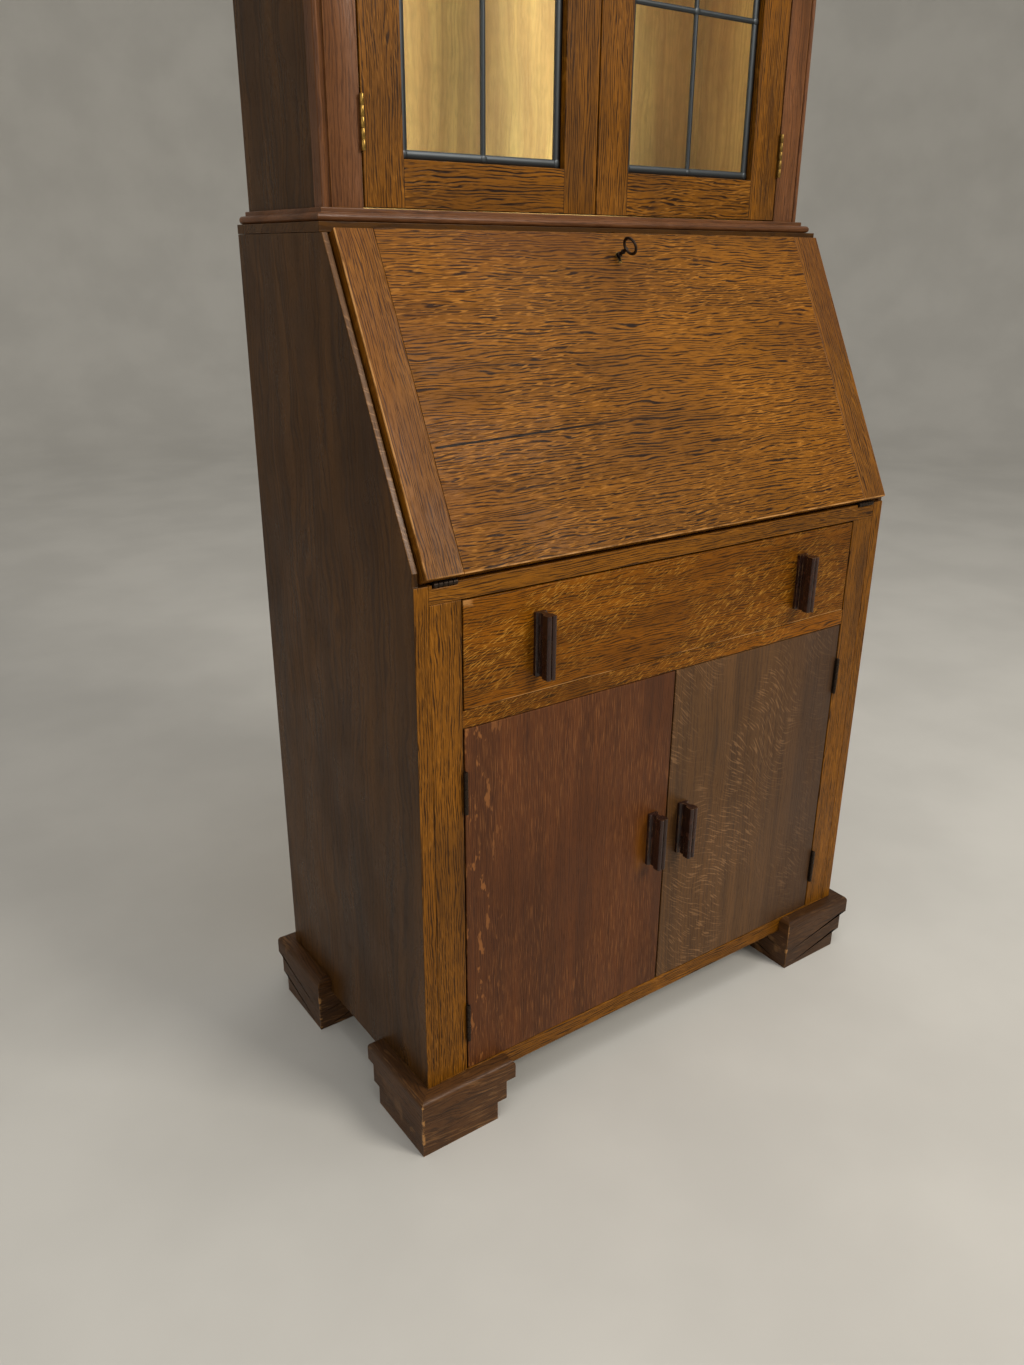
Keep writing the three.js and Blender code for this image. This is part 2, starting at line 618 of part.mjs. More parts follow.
// ---- pigeonholes ----
function pigeonholes() {
  const half = INNER - PIGEON_SIDE_ROOM;
  const back = BACK_FRONT - JOINT_GAP;
  const front = back - PIGEON_DEPTH;
  const foot = BED_TOP + JOINT_GAP;
  const head = BUREAU_HEIGHT - BUREAU_TOP_THICKNESS - PIGEON_HEADROOM;
  const bay = (2 * half - PIGEON_BOARD) / PIGEON_BAYS;
  const ceiling = head - PIGEON_BOARD;
  let body = blockSolid(-half, half, front, back, foot, head);
  const cut = (x0, x1, z0, z1) => {
    body = body.subtract(blockSolid(x0, x1, front - CUT_PAST, back + CUT_PAST, z0, z1));
  };
  for (let index = 0; index < PIGEON_BAYS; index += 1) {
    const x0 = -half + PIGEON_BOARD + index * bay;
    const x1 = x0 + bay - PIGEON_BOARD;
    if (PIGEON_SHELVED_BAYS.includes(index)) {
      const shelf = (foot + head) / 2;
      cut(x0, x1, foot + PIGEON_BOARD, shelf - PIGEON_BOARD / 2);
      cut(x0, x1, shelf + PIGEON_BOARD / 2, ceiling);
    } else {
      cut(x0, x1, foot + PIGEON_BOARD, ceiling);
    }
  }
  piece("pigeonholes", body, PLAIN_WOOD);
}

// ---- handles ----
// Plan of a handle: foot, finger groove and a reeded head, standing forward of y = 0.
function handlePlan() {
  const head = HANDLE_WIDTH / 2;
  const neck = HANDLE_NECK_WIDTH / 2;
  const foot = HANDLE_FOOT_WIDTH / 2;
  const reed = head / 2;
  const crown = -HANDLE_PROUD + reed;
  const shape = new THREE.Shape();
  shape.moveTo(foot, -JOINT_GAP);
  shape.lineTo(-foot, -JOINT_GAP);
  shape.lineTo(-foot, -HANDLE_FOOT_PROUD);
  shape.lineTo(-neck, -HANDLE_NECK_FROM);
  shape.lineTo(-neck, -HANDLE_NECK_TO);
  shape.lineTo(-head, -HANDLE_LIP);
  shape.lineTo(-head, crown);
  shape.absarc(-reed, crown, reed, Math.PI, 2 * Math.PI, false);
  shape.absarc(reed, crown, reed, Math.PI, 2 * Math.PI, false);
  shape.lineTo(head, -HANDLE_LIP);
  shape.lineTo(neck, -HANDLE_NECK_TO);
  shape.lineTo(neck, -HANDLE_NECK_FROM);
  shape.lineTo(foot, -HANDLE_FOOT_PROUD);
  return shape;
}

function handle(name, x, y, z) {
  const geometry = new THREE.ExtrudeGeometry(handlePlan(), {
    depth: HANDLE_HEIGHT,
    bevelEnabled: false,
    curveSegments: 5,
  });
  geometry.translate(0, 0, -HANDLE_HEIGHT / 2);
  const mesh = piece(name, geometry, HANDLE_WOOD);
  mesh.position.set(x, y, z);
}

// ---- drawer ----
function drawer() {
  const half = OPENING - DRAWER_GAP;
  const foot = DRAWER_RAIL_TOP + RUNNING_GAP;
  const head = TOP_RAIL_FOOT - DRAWER_GAP;
  const frontBack = DRAWER_FRONT_THICKNESS;
  const back = DRAWER_BACK;
  const boxFront = frontBack + JOINT_GAP;
  const sideTop = foot + DRAWER_SIDE_HEIGHT;
  const inner = half - DRAWER_SIDE_THICKNESS;
  piece("drawer_front", block(-half, half, 0, frontBack, foot, head), OAK);
  for (const { side, sign } of SIDES) {
    const [x0, x1] = spanX(sign, inner, half);
    piece(`drawer_side_${side}`, block(x0, x1, boxFront, back, foot, sideTop), PLAIN_WOOD);
    const level = (foot + head) / 2 - DRAWER_HANDLE_DROP;
    handle(`drawer_handle_${side}`, sign * (OPENING - DRAWER_HANDLE_INSET), 0, level);
  }
  const reach = inner - JOINT_GAP;
  const floor = foot + DRAWER_BOTTOM_RISE;
  const floorTop = floor + DRAWER_BOTTOM_THICKNESS;
  const backFront = back - DRAWER_SIDE_THICKNESS;
  const backFoot = floorTop + JOINT_GAP;
  piece("drawer_bottom", block(-reach, reach, boxFront, back, floor, floorTop), PLAIN_WOOD);
  piece("drawer_back", block(-reach, reach, backFront, back, backFoot, sideTop), PLAIN_WOOD);
}

// ---- butt hinges ----
// A fixed knuckle with its leaf in the gap beside the door; the pin stands clear of the faces.
function buttHinge(name, sign, opening, face, z0, length, reach, material) {
  const axis = hingeAxis(sign, opening, face);
  const knuckle = solid(barZ(KNUCKLE_RADIUS, axis.x, axis.y, z0, z0 + length));
  const half = LEAF_THICKNESS / 2;
  const leaf = blockSolid(axis.x - half, axis.x + half, axis.y, face + reach, z0, z0 + length);
  piece(name, knuckle.add(leaf), material);
}

function hingeAxis(sign, opening, face) {
  return new THREE.Vector2(sign * (opening - HINGE_GAP / 2), face - KNUCKLE_RADIUS - JOINT_GAP);
}

// ---- cupboard ----
function cupboard({ side, sign }) {
  const foot = BOTTOM_TOP + DOOR_GAP;
  const head = DRAWER_RAIL_FOOT - DOOR_GAP;
  const [x0, x1] = spanX(sign, DOOR_GAP, OPENING - HINGE_GAP);
  piece(`cupboard_door_${side}`, block(x0, x1, 0, DOOR_THICKNESS, foot, head), BROWN_OAK);
  handle(`cupboard_handle_${side}`, sign * DOOR_HANDLE_X, 0, foot + DOOR_HANDLE_RISE);
  const levels = { lower: foot + BUTT_LOW, upper: head - BUTT_HIGH - BUTT_LENGTH };
  for (const [level, z] of Object.entries(levels)) {
    const name = `cupboard_hinge_${side}_${level}`;
    buttHinge(name, sign, OPENING, 0, z, BUTT_LENGTH, DOOR_THICKNESS, STEEL);
  }
}

// ---- bookcase ----
// A board whose front and side edges are rounded and stand proud of the case below or above it.
function nosedBoard(proud, z0, z1, rounding) {
  const half = BOOK_HALF + proud;
  const plan = rectangle(-half, half, BOOK_FRONT - proud, CARCASS_DEPTH + proud + rounding);
  const past = half + CUT_PAST;
  const keep = blockSolid(-past, past, BOOK_FRONT - proud - CUT_PAST, CARCASS_DEPTH, z0, z1);
  return solid(upZ(plan, z0, z1, rounding)).intersect(keep);
}

function bookcaseBase() {
  const nose = BUREAU_HEIGHT + NOSE_HEIGHT;
  const foot = BUREAU_HEIGHT + JOINT_GAP;
  const rounding = (nose - foot) / 2 - JOINT_GAP;
  const lower = nosedBoard(NOSE_PROUD, foot, nose, rounding);
  const upper = nosedBoard(LEDGE_PROUD, nose - CUT_PAST, BOOK_BASE, LEDGE_ROUNDING);
  piece("bookcase_base", lower.add(upper), DARK_OAK);
}

function bookcaseTop() {
  const head = BUREAU_HEIGHT + BOOKCASE_HEIGHT;
  const board = nosedBoard(TOP_BOARD_PROUD, BOOK_TOP, head, TOP_BOARD_ROUNDING);
  piece("bookcase_top", board, DARK_OAK);
}

// Plan of a face-frame stile: corner bead, quirk, then the flat.
function faceStilePlan(sign) {
  const front = BOOK_FRONT;
  const back = BOOK_FRONT + FACE_FRAME_DEPTH;
  const bead = BEAD_RADIUS;
  const quirk = BOOK_HALF - 2 * bead;
  const shape = new THREE.Shape();
  shape.moveTo(BOOK_OPENING, front);
  shape.lineTo(quirk - QUIRK_WIDTH, front);
  shape.lineTo(quirk - QUIRK_WIDTH, front + QUIRK_DEPTH);
  shape.lineTo(quirk, front + QUIRK_DEPTH);
  shape.lineTo(quirk, front + bead);
  shape.absarc(quirk + bead, front + bead, bead, Math.PI, 2 * Math.PI, false);
  shape.lineTo(BOOK_HALF, back);
  shape.lineTo(BOOK_OPENING, back);
  if (sign > 0) return shape;
  const mirrored = shape.getPoints(6).map((point) => new THREE.Vector2(-point.x, point.y));
  return new THREE.Shape(mirrored);
}

function faceFrame() {
  const foot = BOOK_BASE + JOINT_GAP;
  const head = BOOK_TOP - JOINT_GAP;
  const back = BOOK_FRONT + FACE_FRAME_DEPTH;
  const lap = BOOK_OPENING + CUT_PAST;
  let body = blockSolid(-lap, lap, BOOK_FRONT, back, HEAD_FOOT, head);
  for (const { sign } of SIDES) {
    body = body.add(solid(upZ(faceStilePlan(sign), foot, head)));
  }
  piece("bookcase_face_frame", body, BROWN_OAK);
}

function bookcaseBoards() {
  const foot = BOOK_BASE + JOINT_GAP;
  const head = BOOK_TOP - JOINT_GAP;
  const front = BOOK_FRONT + FACE_FRAME_DEPTH + JOINT_GAP;
  for (const { side, sign } of SIDES) {
    const [x0, x1] = spanX(sign, BOOK_HALF - BOARD_THICKNESS, BOOK_HALF);
    piece(`bookcase_side_${side}`, block(x0, x1, front, CARCASS_DEPTH, foot, head), DARK_OAK);
  }
  const reach = BOOK_HALF - BOARD_THICKNESS - JOINT_GAP;
  piece("bookcase_back", block(-reach, reach, BACK_FRONT, CARCASS_DEPTH, foot, head), PLAIN_WOOD);
  const shelf = BOOK_BASE + BOOK_SHELF_RISE;
  const back = BACK_FRONT - JOINT_GAP;
  const board = block(-reach, reach, front + SHELF_SETBACK, back, shelf, shelf + SHELF_THICKNESS);
  piece("bookcase_shelf", board, PLAIN_WOOD);
}

// ---- glazed doors ----
function glazedDoor({ side, sign }) {
  const foot = BOOK_BASE + JOINT_GAP + DOOR_GAP;
  const head = HEAD_FOOT - DOOR_GAP;
  const face = BOOK_FRONT;
  const back = face + GLASS_FRAME_THICKNESS;
  const lip = face + GLASS_LIP;
  const [x0, x1] = spanX(sign, DOOR_GAP, BOOK_OPENING - HINGE_GAP);
  const sight = {
    x0: x0 + GLASS_FRAME_WIDTH,
    x1: x1 - GLASS_FRAME_WIDTH,
    z0: foot + GLASS_FRAME_WIDTH,
    z1: head - GLASS_FRAME_WIDTH,
  };
  const hole = (grow, y0, y1) =>
    blockSolid(sight.x0 - grow, sight.x1 + grow, y0, y1, sight.z0 - grow, sight.z1 + grow);
  const body = blockSolid(x0, x1, face, back, foot, head)
    .subtract(hole(0, face - CUT_PAST, back))
    .subtract(hole(GLASS_REBATE, lip, back + CUT_PAST));
  piece(`glass_door_frame_${side}`, body, OAK);
  leadedLight(side, sight, lip + JOINT_GAP);
  handle(`glass_door_handle_${side}`, sign * DOOR_HANDLE_X, face, foot + GLASS_HANDLE_RISE);
  const levels = {
    lower: foot + GLASS_HINGE_LOW,
    upper: head - GLASS_HINGE_LOW - GLASS_HINGE_LENGTH,
  };
  for (const [level, z] of Object.entries(levels)) {
    const name = `glass_hinge_${side}_${level}`;
    buttHinge(name, sign, BOOK_OPENING, face, z, GLASS_HINGE_LENGTH, GLASS_FRAME_THICKNESS, BRASS);
  }
}

// One sheet for the panes, with the border and the lead cames standing on both faces.
function leadedLight(side, sight, face) {
  const edge = GLASS_REBATE - RUNNING_GAP;
  const back = face + GLASS_THICKNESS;
  let body = blockSolid(
    sight.x0 - edge, sight.x1 + edge, face, back, sight.z0 - edge, sight.z1 + edge,
  );
  const came = (x0, x1, z0, z1) => {
    body = body.add(blockSolid(x0, x1, face - CAME_PROUD, back + CAME_PROUD, z0, z1));
  };
  const x0 = sight.x0 + RUNNING_GAP;
  const x1 = sight.x1 - RUNNING_GAP;
  const z0 = sight.z0 + RUNNING_GAP;
  const z1 = sight.z1 - RUNNING_GAP;
  came(x0, x0 + BORDER_CAME, z0, z1);
  came(x1 - BORDER_CAME, x1, z0, z1);
  came(x0, x1, z0, z0 + BORDER_CAME);
  came(x0, x1, z1 - BORDER_CAME, z1);
  for (let column = 1; column < PANE_COLUMNS; column += 1) {
    const x = x0 + ((x1 - x0) * column) / PANE_COLUMNS;
    came(x - CAME_WIDTH / 2, x + CAME_WIDTH / 2, z0, z1);
  }
  for (let row = 1; row < PANE_ROWS; row += 1) {
    const z = z0 + ((z1 - z0) * row) / PANE_ROWS;
    came(x0, x1, z - CAME_WIDTH / 2, z + CAME_WIDTH / 2);
  }
  piece(`leaded_light_${side}`, body, LEADED_GLASS);
}

for (const place of SIDES) {
  bureauSide(place);
  stile(place);
  fallHinge(place);
  cupboard(place);
  glazedDoor(place);
}
topRail();
drawerFrame();
bureauBoards();
writingBed();
bureauTop();
feet();
fallPanel();
fallLock();
key();
stays();
pigeonholes();
drawer();
bookcaseBase();
bookcaseTop();
faceFrame();
bookcaseBoards();

export default desk;
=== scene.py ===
"""Looks of an oak secretary desk: joinery, hardware, leaded lights, finishes and a plain stage."""

import json
import math
import random

import bmesh
import bpy
from bpy.props import FloatProperty, FloatVectorProperty, IntProperty, PointerProperty
from mathutils import Matrix, Vector

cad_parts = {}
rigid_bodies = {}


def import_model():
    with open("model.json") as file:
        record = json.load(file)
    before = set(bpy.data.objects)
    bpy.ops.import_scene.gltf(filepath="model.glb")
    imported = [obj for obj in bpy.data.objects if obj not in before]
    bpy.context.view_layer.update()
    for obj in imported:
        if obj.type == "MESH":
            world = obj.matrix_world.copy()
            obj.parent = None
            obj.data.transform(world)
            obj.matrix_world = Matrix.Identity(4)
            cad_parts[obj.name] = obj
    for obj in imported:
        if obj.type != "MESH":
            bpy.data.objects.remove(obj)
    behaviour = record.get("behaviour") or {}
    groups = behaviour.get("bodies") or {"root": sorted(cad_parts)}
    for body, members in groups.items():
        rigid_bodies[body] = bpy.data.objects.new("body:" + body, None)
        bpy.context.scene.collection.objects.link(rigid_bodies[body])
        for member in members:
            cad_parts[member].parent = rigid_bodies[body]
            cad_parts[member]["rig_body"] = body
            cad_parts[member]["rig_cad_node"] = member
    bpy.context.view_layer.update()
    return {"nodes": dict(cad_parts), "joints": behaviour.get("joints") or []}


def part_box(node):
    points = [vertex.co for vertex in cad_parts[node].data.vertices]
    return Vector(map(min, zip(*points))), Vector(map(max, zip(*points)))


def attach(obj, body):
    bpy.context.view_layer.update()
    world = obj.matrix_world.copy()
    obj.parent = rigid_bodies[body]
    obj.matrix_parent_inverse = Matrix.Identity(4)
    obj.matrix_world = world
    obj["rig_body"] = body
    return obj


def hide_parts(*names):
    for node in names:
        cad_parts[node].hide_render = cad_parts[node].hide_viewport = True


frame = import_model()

bl_info = {
    "name": "Secretary Desk",
    "version": (1, 0, 0),
    "blender": (4, 5, 0),
    "location": "3D View > Sidebar > Desk",
    "description": "Dresses the secretary desk's frame with joinery, hardware, glass and finishes",
    "category": "Object",
}

SIDES = {"left": -1, "right": 1}
X, Y, Z = Vector((1, 0, 0)), Vector((0, 1, 0)), Vector((0, 0, 1))


def linear(code):
    """Linear red, green and blue of a colour written as in #8a5a2b."""
    shares = [int(code[i : i + 2], 16) / 255 for i in (1, 3, 5)]
    return tuple(s / 12.92 if s <= 0.04045 else ((s + 0.055) / 1.055) ** 2.4 for s in shares)


def length(name, description, default):
    return FloatProperty(
        name=name, description=description, default=default, min=0, unit="LENGTH", precision=5
    )


def angle(name, description, degrees):
    return FloatProperty(
        name=name, description=description, default=math.radians(degrees), unit="ROTATION"
    )


def tint(name, description, code):
    return FloatVectorProperty(
        name=name, description=description, default=linear(code), subtype="COLOR", size=3, min=0, max=1
    )


# ---- what a user would change ----


class DeskSizes(bpy.types.PropertyGroup):
    """Sizes of what the frame leaves to the looks."""

    arris: length("Arris", "Rounding along the edges of the boards", 0.0009)
    fine_arris: length("Fine arris", "Rounding along the edges of metal and thin boards", 0.0004)
    handle_arris: length("Handle arris", "Rounding along the edges of the handles", 0.0007)
    screw_radius: length("Screw radius", "Radius of the hinge and bracket screws' heads", 0.0026)
    nail_radius: length("Nail radius", "Radius of the panel pins' heads", 0.0016)
    nail_pitch: length("Nail pitch", "Distance between the pins round the back panels", 0.11)
    came_width: length("Came width", "Width of the lead between two panes", 0.006)
    border_came_width: length("Border came width", "Width of the lead round a light", 0.009)
    came_proud: length("Came proud", "How far the lead stands out of the glass", 0.0018)
    solder_radius: length("Solder radius", "Radius of the solder on a lead joint", 0.0052)
    glass_thickness: length("Glass thickness", "Thickness of one pane", 0.0025)
    pane_columns: IntProperty(name="Pane columns", description="Panes across a light", default=2, min=1)
    pane_rows: IntProperty(name="Pane rows", description="Panes up a light", default=4, min=1)
    hinge_leaf: length("Hinge leaf", "Thickness of a butt hinge's leaf", 0.001)
    knuckle_share: FloatProperty(
        name="Knuckle share", description="Hinge barrel against its room", default=0.8, min=0.5, max=1
    )
    batten: length("Batten", "Section of the battens under the cupboard's shelf", 0.014)
    escutcheon: length("Escutcheon", "Radius of the keyhole's thread", 0.0046)
    crack_width: length("Crack width", "Width of the shrinkage crack across the fall", 0.0016)


class DeskFinishes(bpy.types.PropertyGroup):
    """Colours of the timbers and metals."""

    golden: tint("Golden oak", "Fall, rails and stiles", "#7c4c0a")
    golden_line: tint("Golden oak line", "Dark figure of the golden oak", "#241204")
    golden_fleck: tint("Golden oak fleck", "Pale figure of the golden oak", "#ae7327")
    amber: tint("Amber oak", "Drawer front and the rail under it", "#784502")
    amber_line: tint("Amber oak line", "Dark figure of the amber oak", "#241301")
    amber_fleck: tint("Amber oak fleck", "Pale figure of the amber oak", "#ad7829")
    red_brown: tint("Red-brown oak", "Left cupboard door", "#562e10")
    red_brown_line: tint("Red-brown oak line", "Dark figure of the red-brown oak", "#331a0e")
    red_brown_fleck: tint("Red-brown oak fleck", "Pale figure of the red-brown oak", "#8f5a2c")
    umber: tint("Umber oak", "Right cupboard door", "#5a3c1d")
    umber_line: tint("Umber oak line", "Dark figure of the umber oak", "#33231a")
    umber_fleck: tint("Umber oak fleck", "Pale rays of the umber oak", "#946d47")
    walnut: tint("Dark oak", "Sides, bookcase sides and mouldings", "#4a2f12")
    walnut_line: tint("Dark oak line", "Figure of the dark oak", "#291a10")
    walnut_fleck: tint("Dark oak fleck", "Pale figure of the dark oak", "#543c29")
    mahogany: tint("Brown oak", "Bookcase stiles and glazing beads", "#6b4325")
    mahogany_line: tint("Brown oak line", "Dark figure of the brown oak", "#371f13")
    mahogany_fleck: tint("Brown oak fleck", "Pale figure of the brown oak", "#8a5e42")
    foot: tint("Foot oak", "Feet", "#4d3015")
    foot_line: tint("Foot oak line", "Dark figure of the feet", "#28170b")
    foot_fleck: tint("Foot oak fleck", "Pale figure of the feet", "#866039")
    pale: tint("Pale wood", "Linings, shelves and back panels", "#f9c97d")
    pale_line: tint("Pale wood line", "Dark figure of the linings", "#d3a45e")
    pale_fleck: tint("Pale wood fleck", "Light figure of the linings", "#f8d898")
    ebony: tint("Blackened oak", "Handles", "#2a160f")
    # The handles' grain colour also darkens the crack, the joint lines and the painted shade in the gaps.
    ebony_line: tint("Blackened oak line", "Grain of the handles", "#110906")
    ebony_fleck: tint("Blackened oak fleck", "Rubbed spots of the handles", "#5a3626")
    # Also lightened for the painted highlight along the fall's rim.
    wear: tint("Rubbed oak", "Edges where the stain has worn away", "#a87a46")
    brass: tint("Brass", "Glazed doors' hinges, stays and lock", "#a5823f")
    steel: tint("Dark steel", "Key, cupboard hinges and screws", "#3a2f27")
    lead: tint("Lead", "Cames", "#43474a")
    # The tarnish colour also darkens the painted shadow sheet in the keyhole.
    tarnish: tint("Tarnish", "Dull film on the metals", "#2b231b")
    floor: tint("Floor", "Plain pale floor", "#c9c7c1")


class DeskStage(bpy.types.PropertyGroup):
    """Camera, floor and lights."""

    eye: FloatVectorProperty(
        name="Eye", description="Where the camera stands", default=(-0.9034, -1.0975, 1.043), unit="LENGTH"
    )
    heading: angle("Heading", "Camera's turn to the right of straight ahead", 35.51)
    pitch: angle("Pitch", "How far the camera looks down", 21.82)
    roll: angle("Roll", "Camera's lean", 0.37)
    lens: FloatProperty(name="Lens", description="Focal length for a long side of 36 mm", default=28.15)
    sweep_radius: length("Sweep radius", "Half the width of the level floor", 5.0)
    sweep_bend: length("Sweep bend", "Radius of the bend between floor and wall", 1.6)
    sweep_height: length("Sweep height", "Height of the wall", 5.0)
    key_power: FloatProperty(name="Key power", description="Power of the main light", default=95, min=0)
    fill_power: FloatProperty(name="Fill power", description="Power of the weak light", default=22, min=0)
    top_power: FloatProperty(name="Top power", description="Power of the light overhead", default=30, min=0)
    sky: FloatProperty(name="Sky", description="Strength of the even light all round", default=0.42, min=0)


def palette():
    return bpy.context.scene.desk_finishes


# ---- reading the frame ----


def reach(node, direction):
    """Lowest and highest distance of a node's points along a direction."""
    along = [direction.dot(v.co) for v in frame["nodes"][node].data.vertices]
    return min(along), max(along)


def joint(name):
    return next(j for j in frame["joints"] if j["name"] == name)


UP_FALL = Vector(joint("lock_bolt_slide")["axis"]).normalized()
OFF_FALL = UP_FALL.cross(X).normalized()
if OFF_FALL.y > 0:
    OFF_FALL = -OFF_FALL
FALL_FACE = reach("fall_panel", OFF_FALL)
FALL_SPAN = reach("fall_panel", UP_FALL)
KEYHOLE = Vector(joint("key_turn")["pos_m"])


def on_fall(x, above_foot):
    """A point on the fall's outer face: across and up from its foot."""
    return X * x + UP_FALL * (FALL_SPAN[0] + above_foot) + OFF_FALL * FALL_FACE[1]


# ---- node helpers ----


def feed(tree, socket, value):
    if isinstance(value, bpy.types.NodeSocket):
        tree.links.new(value, socket)
    elif hasattr(value, "__len__") and socket.type == "RGBA" and len(value) == 3:
        socket.default_value = (*value, 1)
    else:
        socket.default_value = value


def add_node(tree, kind, inputs=None, **settings):
    node = tree.nodes.new(kind)
    for name, value in settings.items():
        setattr(node, name, value)
    for name, value in (inputs or {}).items():
        feed(tree, node.inputs[name], value)
    return node


def maths(tree, operation, *values, clamp=False):
    node = add_node(tree, "ShaderNodeMath", operation=operation, use_clamp=clamp)
    for socket, value in zip(node.inputs, values):
        feed(tree, socket, value)
    return node.outputs[0]


def plus(tree, first, second):
    return maths(tree, "ADD", first, second)


def minus(tree, first, second):
    return maths(tree, "SUBTRACT", first, second)


def times(tree, first, *others):
    for other in others:
        first = maths(tree, "MULTIPLY", first, other)
    return first


def vectors(tree, operation, *values):
    node = add_node(tree, "ShaderNodeVectorMath", operation=operation)
    for socket, value in zip(node.inputs, values):
        feed(tree, socket, value)
    return node.outputs["Value" if operation in ("DOT_PRODUCT", "LENGTH") else "Vector"]


def noise(tree, vector, stretch, detail=2.0, roughness=0.5):
    """Noise whose features are 1 / stretch metres long along each axis."""
    scaled = vectors(tree, "MULTIPLY", vector, stretch)
    inputs = {"Vector": scaled, "Scale": 1.0, "Detail": detail, "Roughness": roughness}
    return add_node(tree, "ShaderNodeTexNoise", inputs).outputs["Fac"]


def ranged(tree, value, low, high, to_low=0.0, to_high=1.0):
    inputs = {"Value": value, "From Min": low, "From Max": high, "To Min": to_low, "To Max": to_high}
    return add_node(tree, "ShaderNodeMapRange", inputs, interpolation_type="SMOOTHSTEP").outputs["Result"]


def mixed(tree, share, under, over, blend="MIX"):
    node = add_node(tree, "ShaderNodeMix", data_type="RGBA", blend_type=blend)
    share_socket, under_socket, over_socket = node.inputs[0], node.inputs[6], node.inputs[7]
    feed(tree, share_socket, share)
    feed(tree, under_socket, under)
    feed(tree, over_socket, over)
    return node.outputs[2]


def window(tree, value, low, high, soft):
    """1 where value lies between low and high, falling to 0 over soft on both sides."""
    rise = ranged(tree, value, low - soft, low)
    fall = ranged(tree, value, high, high + soft, 1.0, 0.0)
    return times(tree, rise, fall)


def node_group(name, inputs, outputs):
    """An empty shader group with float inputs by default value, a Vector input first, and float outputs."""
    group = bpy.data.node_groups.new(name, "ShaderNodeTree")
    group.interface.new_socket(name="Vector", in_out="INPUT", socket_type="NodeSocketVector")
    for label, default in inputs.items():
        socket = group.interface.new_socket(name=label, in_out="INPUT", socket_type="NodeSocketFloat")
        socket.default_value = default
    for label in outputs:
        group.interface.new_socket(name=label, in_out="OUTPUT", socket_type="NodeSocketFloat")
    return group, group.nodes.new("NodeGroupInput").outputs, group.nodes.new("NodeGroupOutput").inputs


# ---- shared effects ----


def oak_figure():
    """Figure of oak in metres: grain along the vector's first axis, face across its third."""
    if "Oak Figure" in bpy.data.node_groups:
        return bpy.data.node_groups["Oak Figure"]
    defaults = {
        "Line Spacing": 0.0045,
        "Line Length": 0.06,
        "Waviness": 0.004,
        "Ray Length": 0.02,
        "Ray Width": 0.002,
        "Ray Turn": 0.5,
        "Ray Fan": 0.01,
    }
    tree, given, result = node_group("Oak Figure", defaults, ["Bands", "Lines", "Pores", "Rays", "Relief"])
    place = given["Vector"]
    slow = minus(tree, noise(tree, place, (4, 11, 11), 2), 0.5)
    quick = minus(tree, noise(tree, place, (24, 40, 40), 1), 0.5)
    sway = plus(tree, times(tree, slow, 5.0), quick)
    sway = times(tree, sway, given["Waviness"])
    shift = add_node(tree, "ShaderNodeCombineXYZ", {"X": 0.0, "Y": sway, "Z": sway}).outputs[0]
    place = vectors(tree, "ADD", place, shift)
    level = add_node(tree, "ShaderNodeSeparateXYZ", {"Vector": place}).outputs

    bands = noise(tree, place, (1.8, 45, 45), 3, 0.6)
    across = maths(tree, "DIVIDE", 1.0, given["Line Spacing"])
    along = maths(tree, "DIVIDE", 1.0, given["Line Length"])
    stretch = add_node(tree, "ShaderNodeCombineXYZ", {"X": along, "Y": across, "Z": across}).outputs[0]
    broad = vectors(tree, "MULTIPLY", stretch, (0.7, 0.3, 0.3))
    drift = times(tree, noise(tree, place, broad, 2, 0.5), 3.4)
    rise = times(tree, plus(tree, level["Y"], level["Z"]), across)
    turn = times(tree, plus(tree, rise, drift), 2 * math.pi)
    stripes = ranged(tree, maths(tree, "SINE", turn), -0.1, 0.85)
    short = vectors(tree, "MULTIPLY", stretch, (1.5, 0.6, 0.6))
    dashes = ranged(tree, noise(tree, place, short, 2), 0.33, 0.55)
    lines = times(tree, stripes, dashes)
    pores = ranged(tree, noise(tree, place, (60, 1500, 1500), 1), 0.54, 0.7)

    fan = minus(tree, noise(tree, given["Vector"], (6, 8, 8), 1), 0.5)
    fan = times(tree, fan, given["Ray Fan"])
    spread = add_node(tree, "ShaderNodeCombineXYZ", {"X": fan, "Y": fan, "Z": 0.0}).outputs[0]
    inputs = {"Vector": vectors(tree, "ADD", place, spread), "Axis": (0, 0, 1), "Angle": given["Ray Turn"]}
    laid = add_node(tree, "ShaderNodeVectorRotate", inputs).outputs[0]
    ray_across = maths(tree, "DIVIDE", 1.0, given["Ray Width"])
    ray_along = maths(tree, "DIVIDE", 1.0, given["Ray Length"])
    inputs = {"X": ray_along, "Y": ray_across, "Z": ray_along}
    ray_stretch = add_node(tree, "ShaderNodeCombineXYZ", inputs).outputs[0]
    rays = ranged(tree, noise(tree, laid, ray_stretch, 1.5), 0.55, 0.66)
    patches = ranged(tree, noise(tree, given["Vector"], (5, 9, 9), 2), 0.36, 0.56)
    rays = times(tree, rays, patches)

    dents = plus(tree, times(tree, lines, 0.6), times(tree, pores, 0.7))
    relief = minus(tree, times(tree, rays, 0.3), dents)
    results = {"Bands": bands, "Lines": lines, "Pores": pores, "Rays": rays, "Relief": relief}
    for label, value in results.items():
        tree.links.new(value, result[label])
    return tree


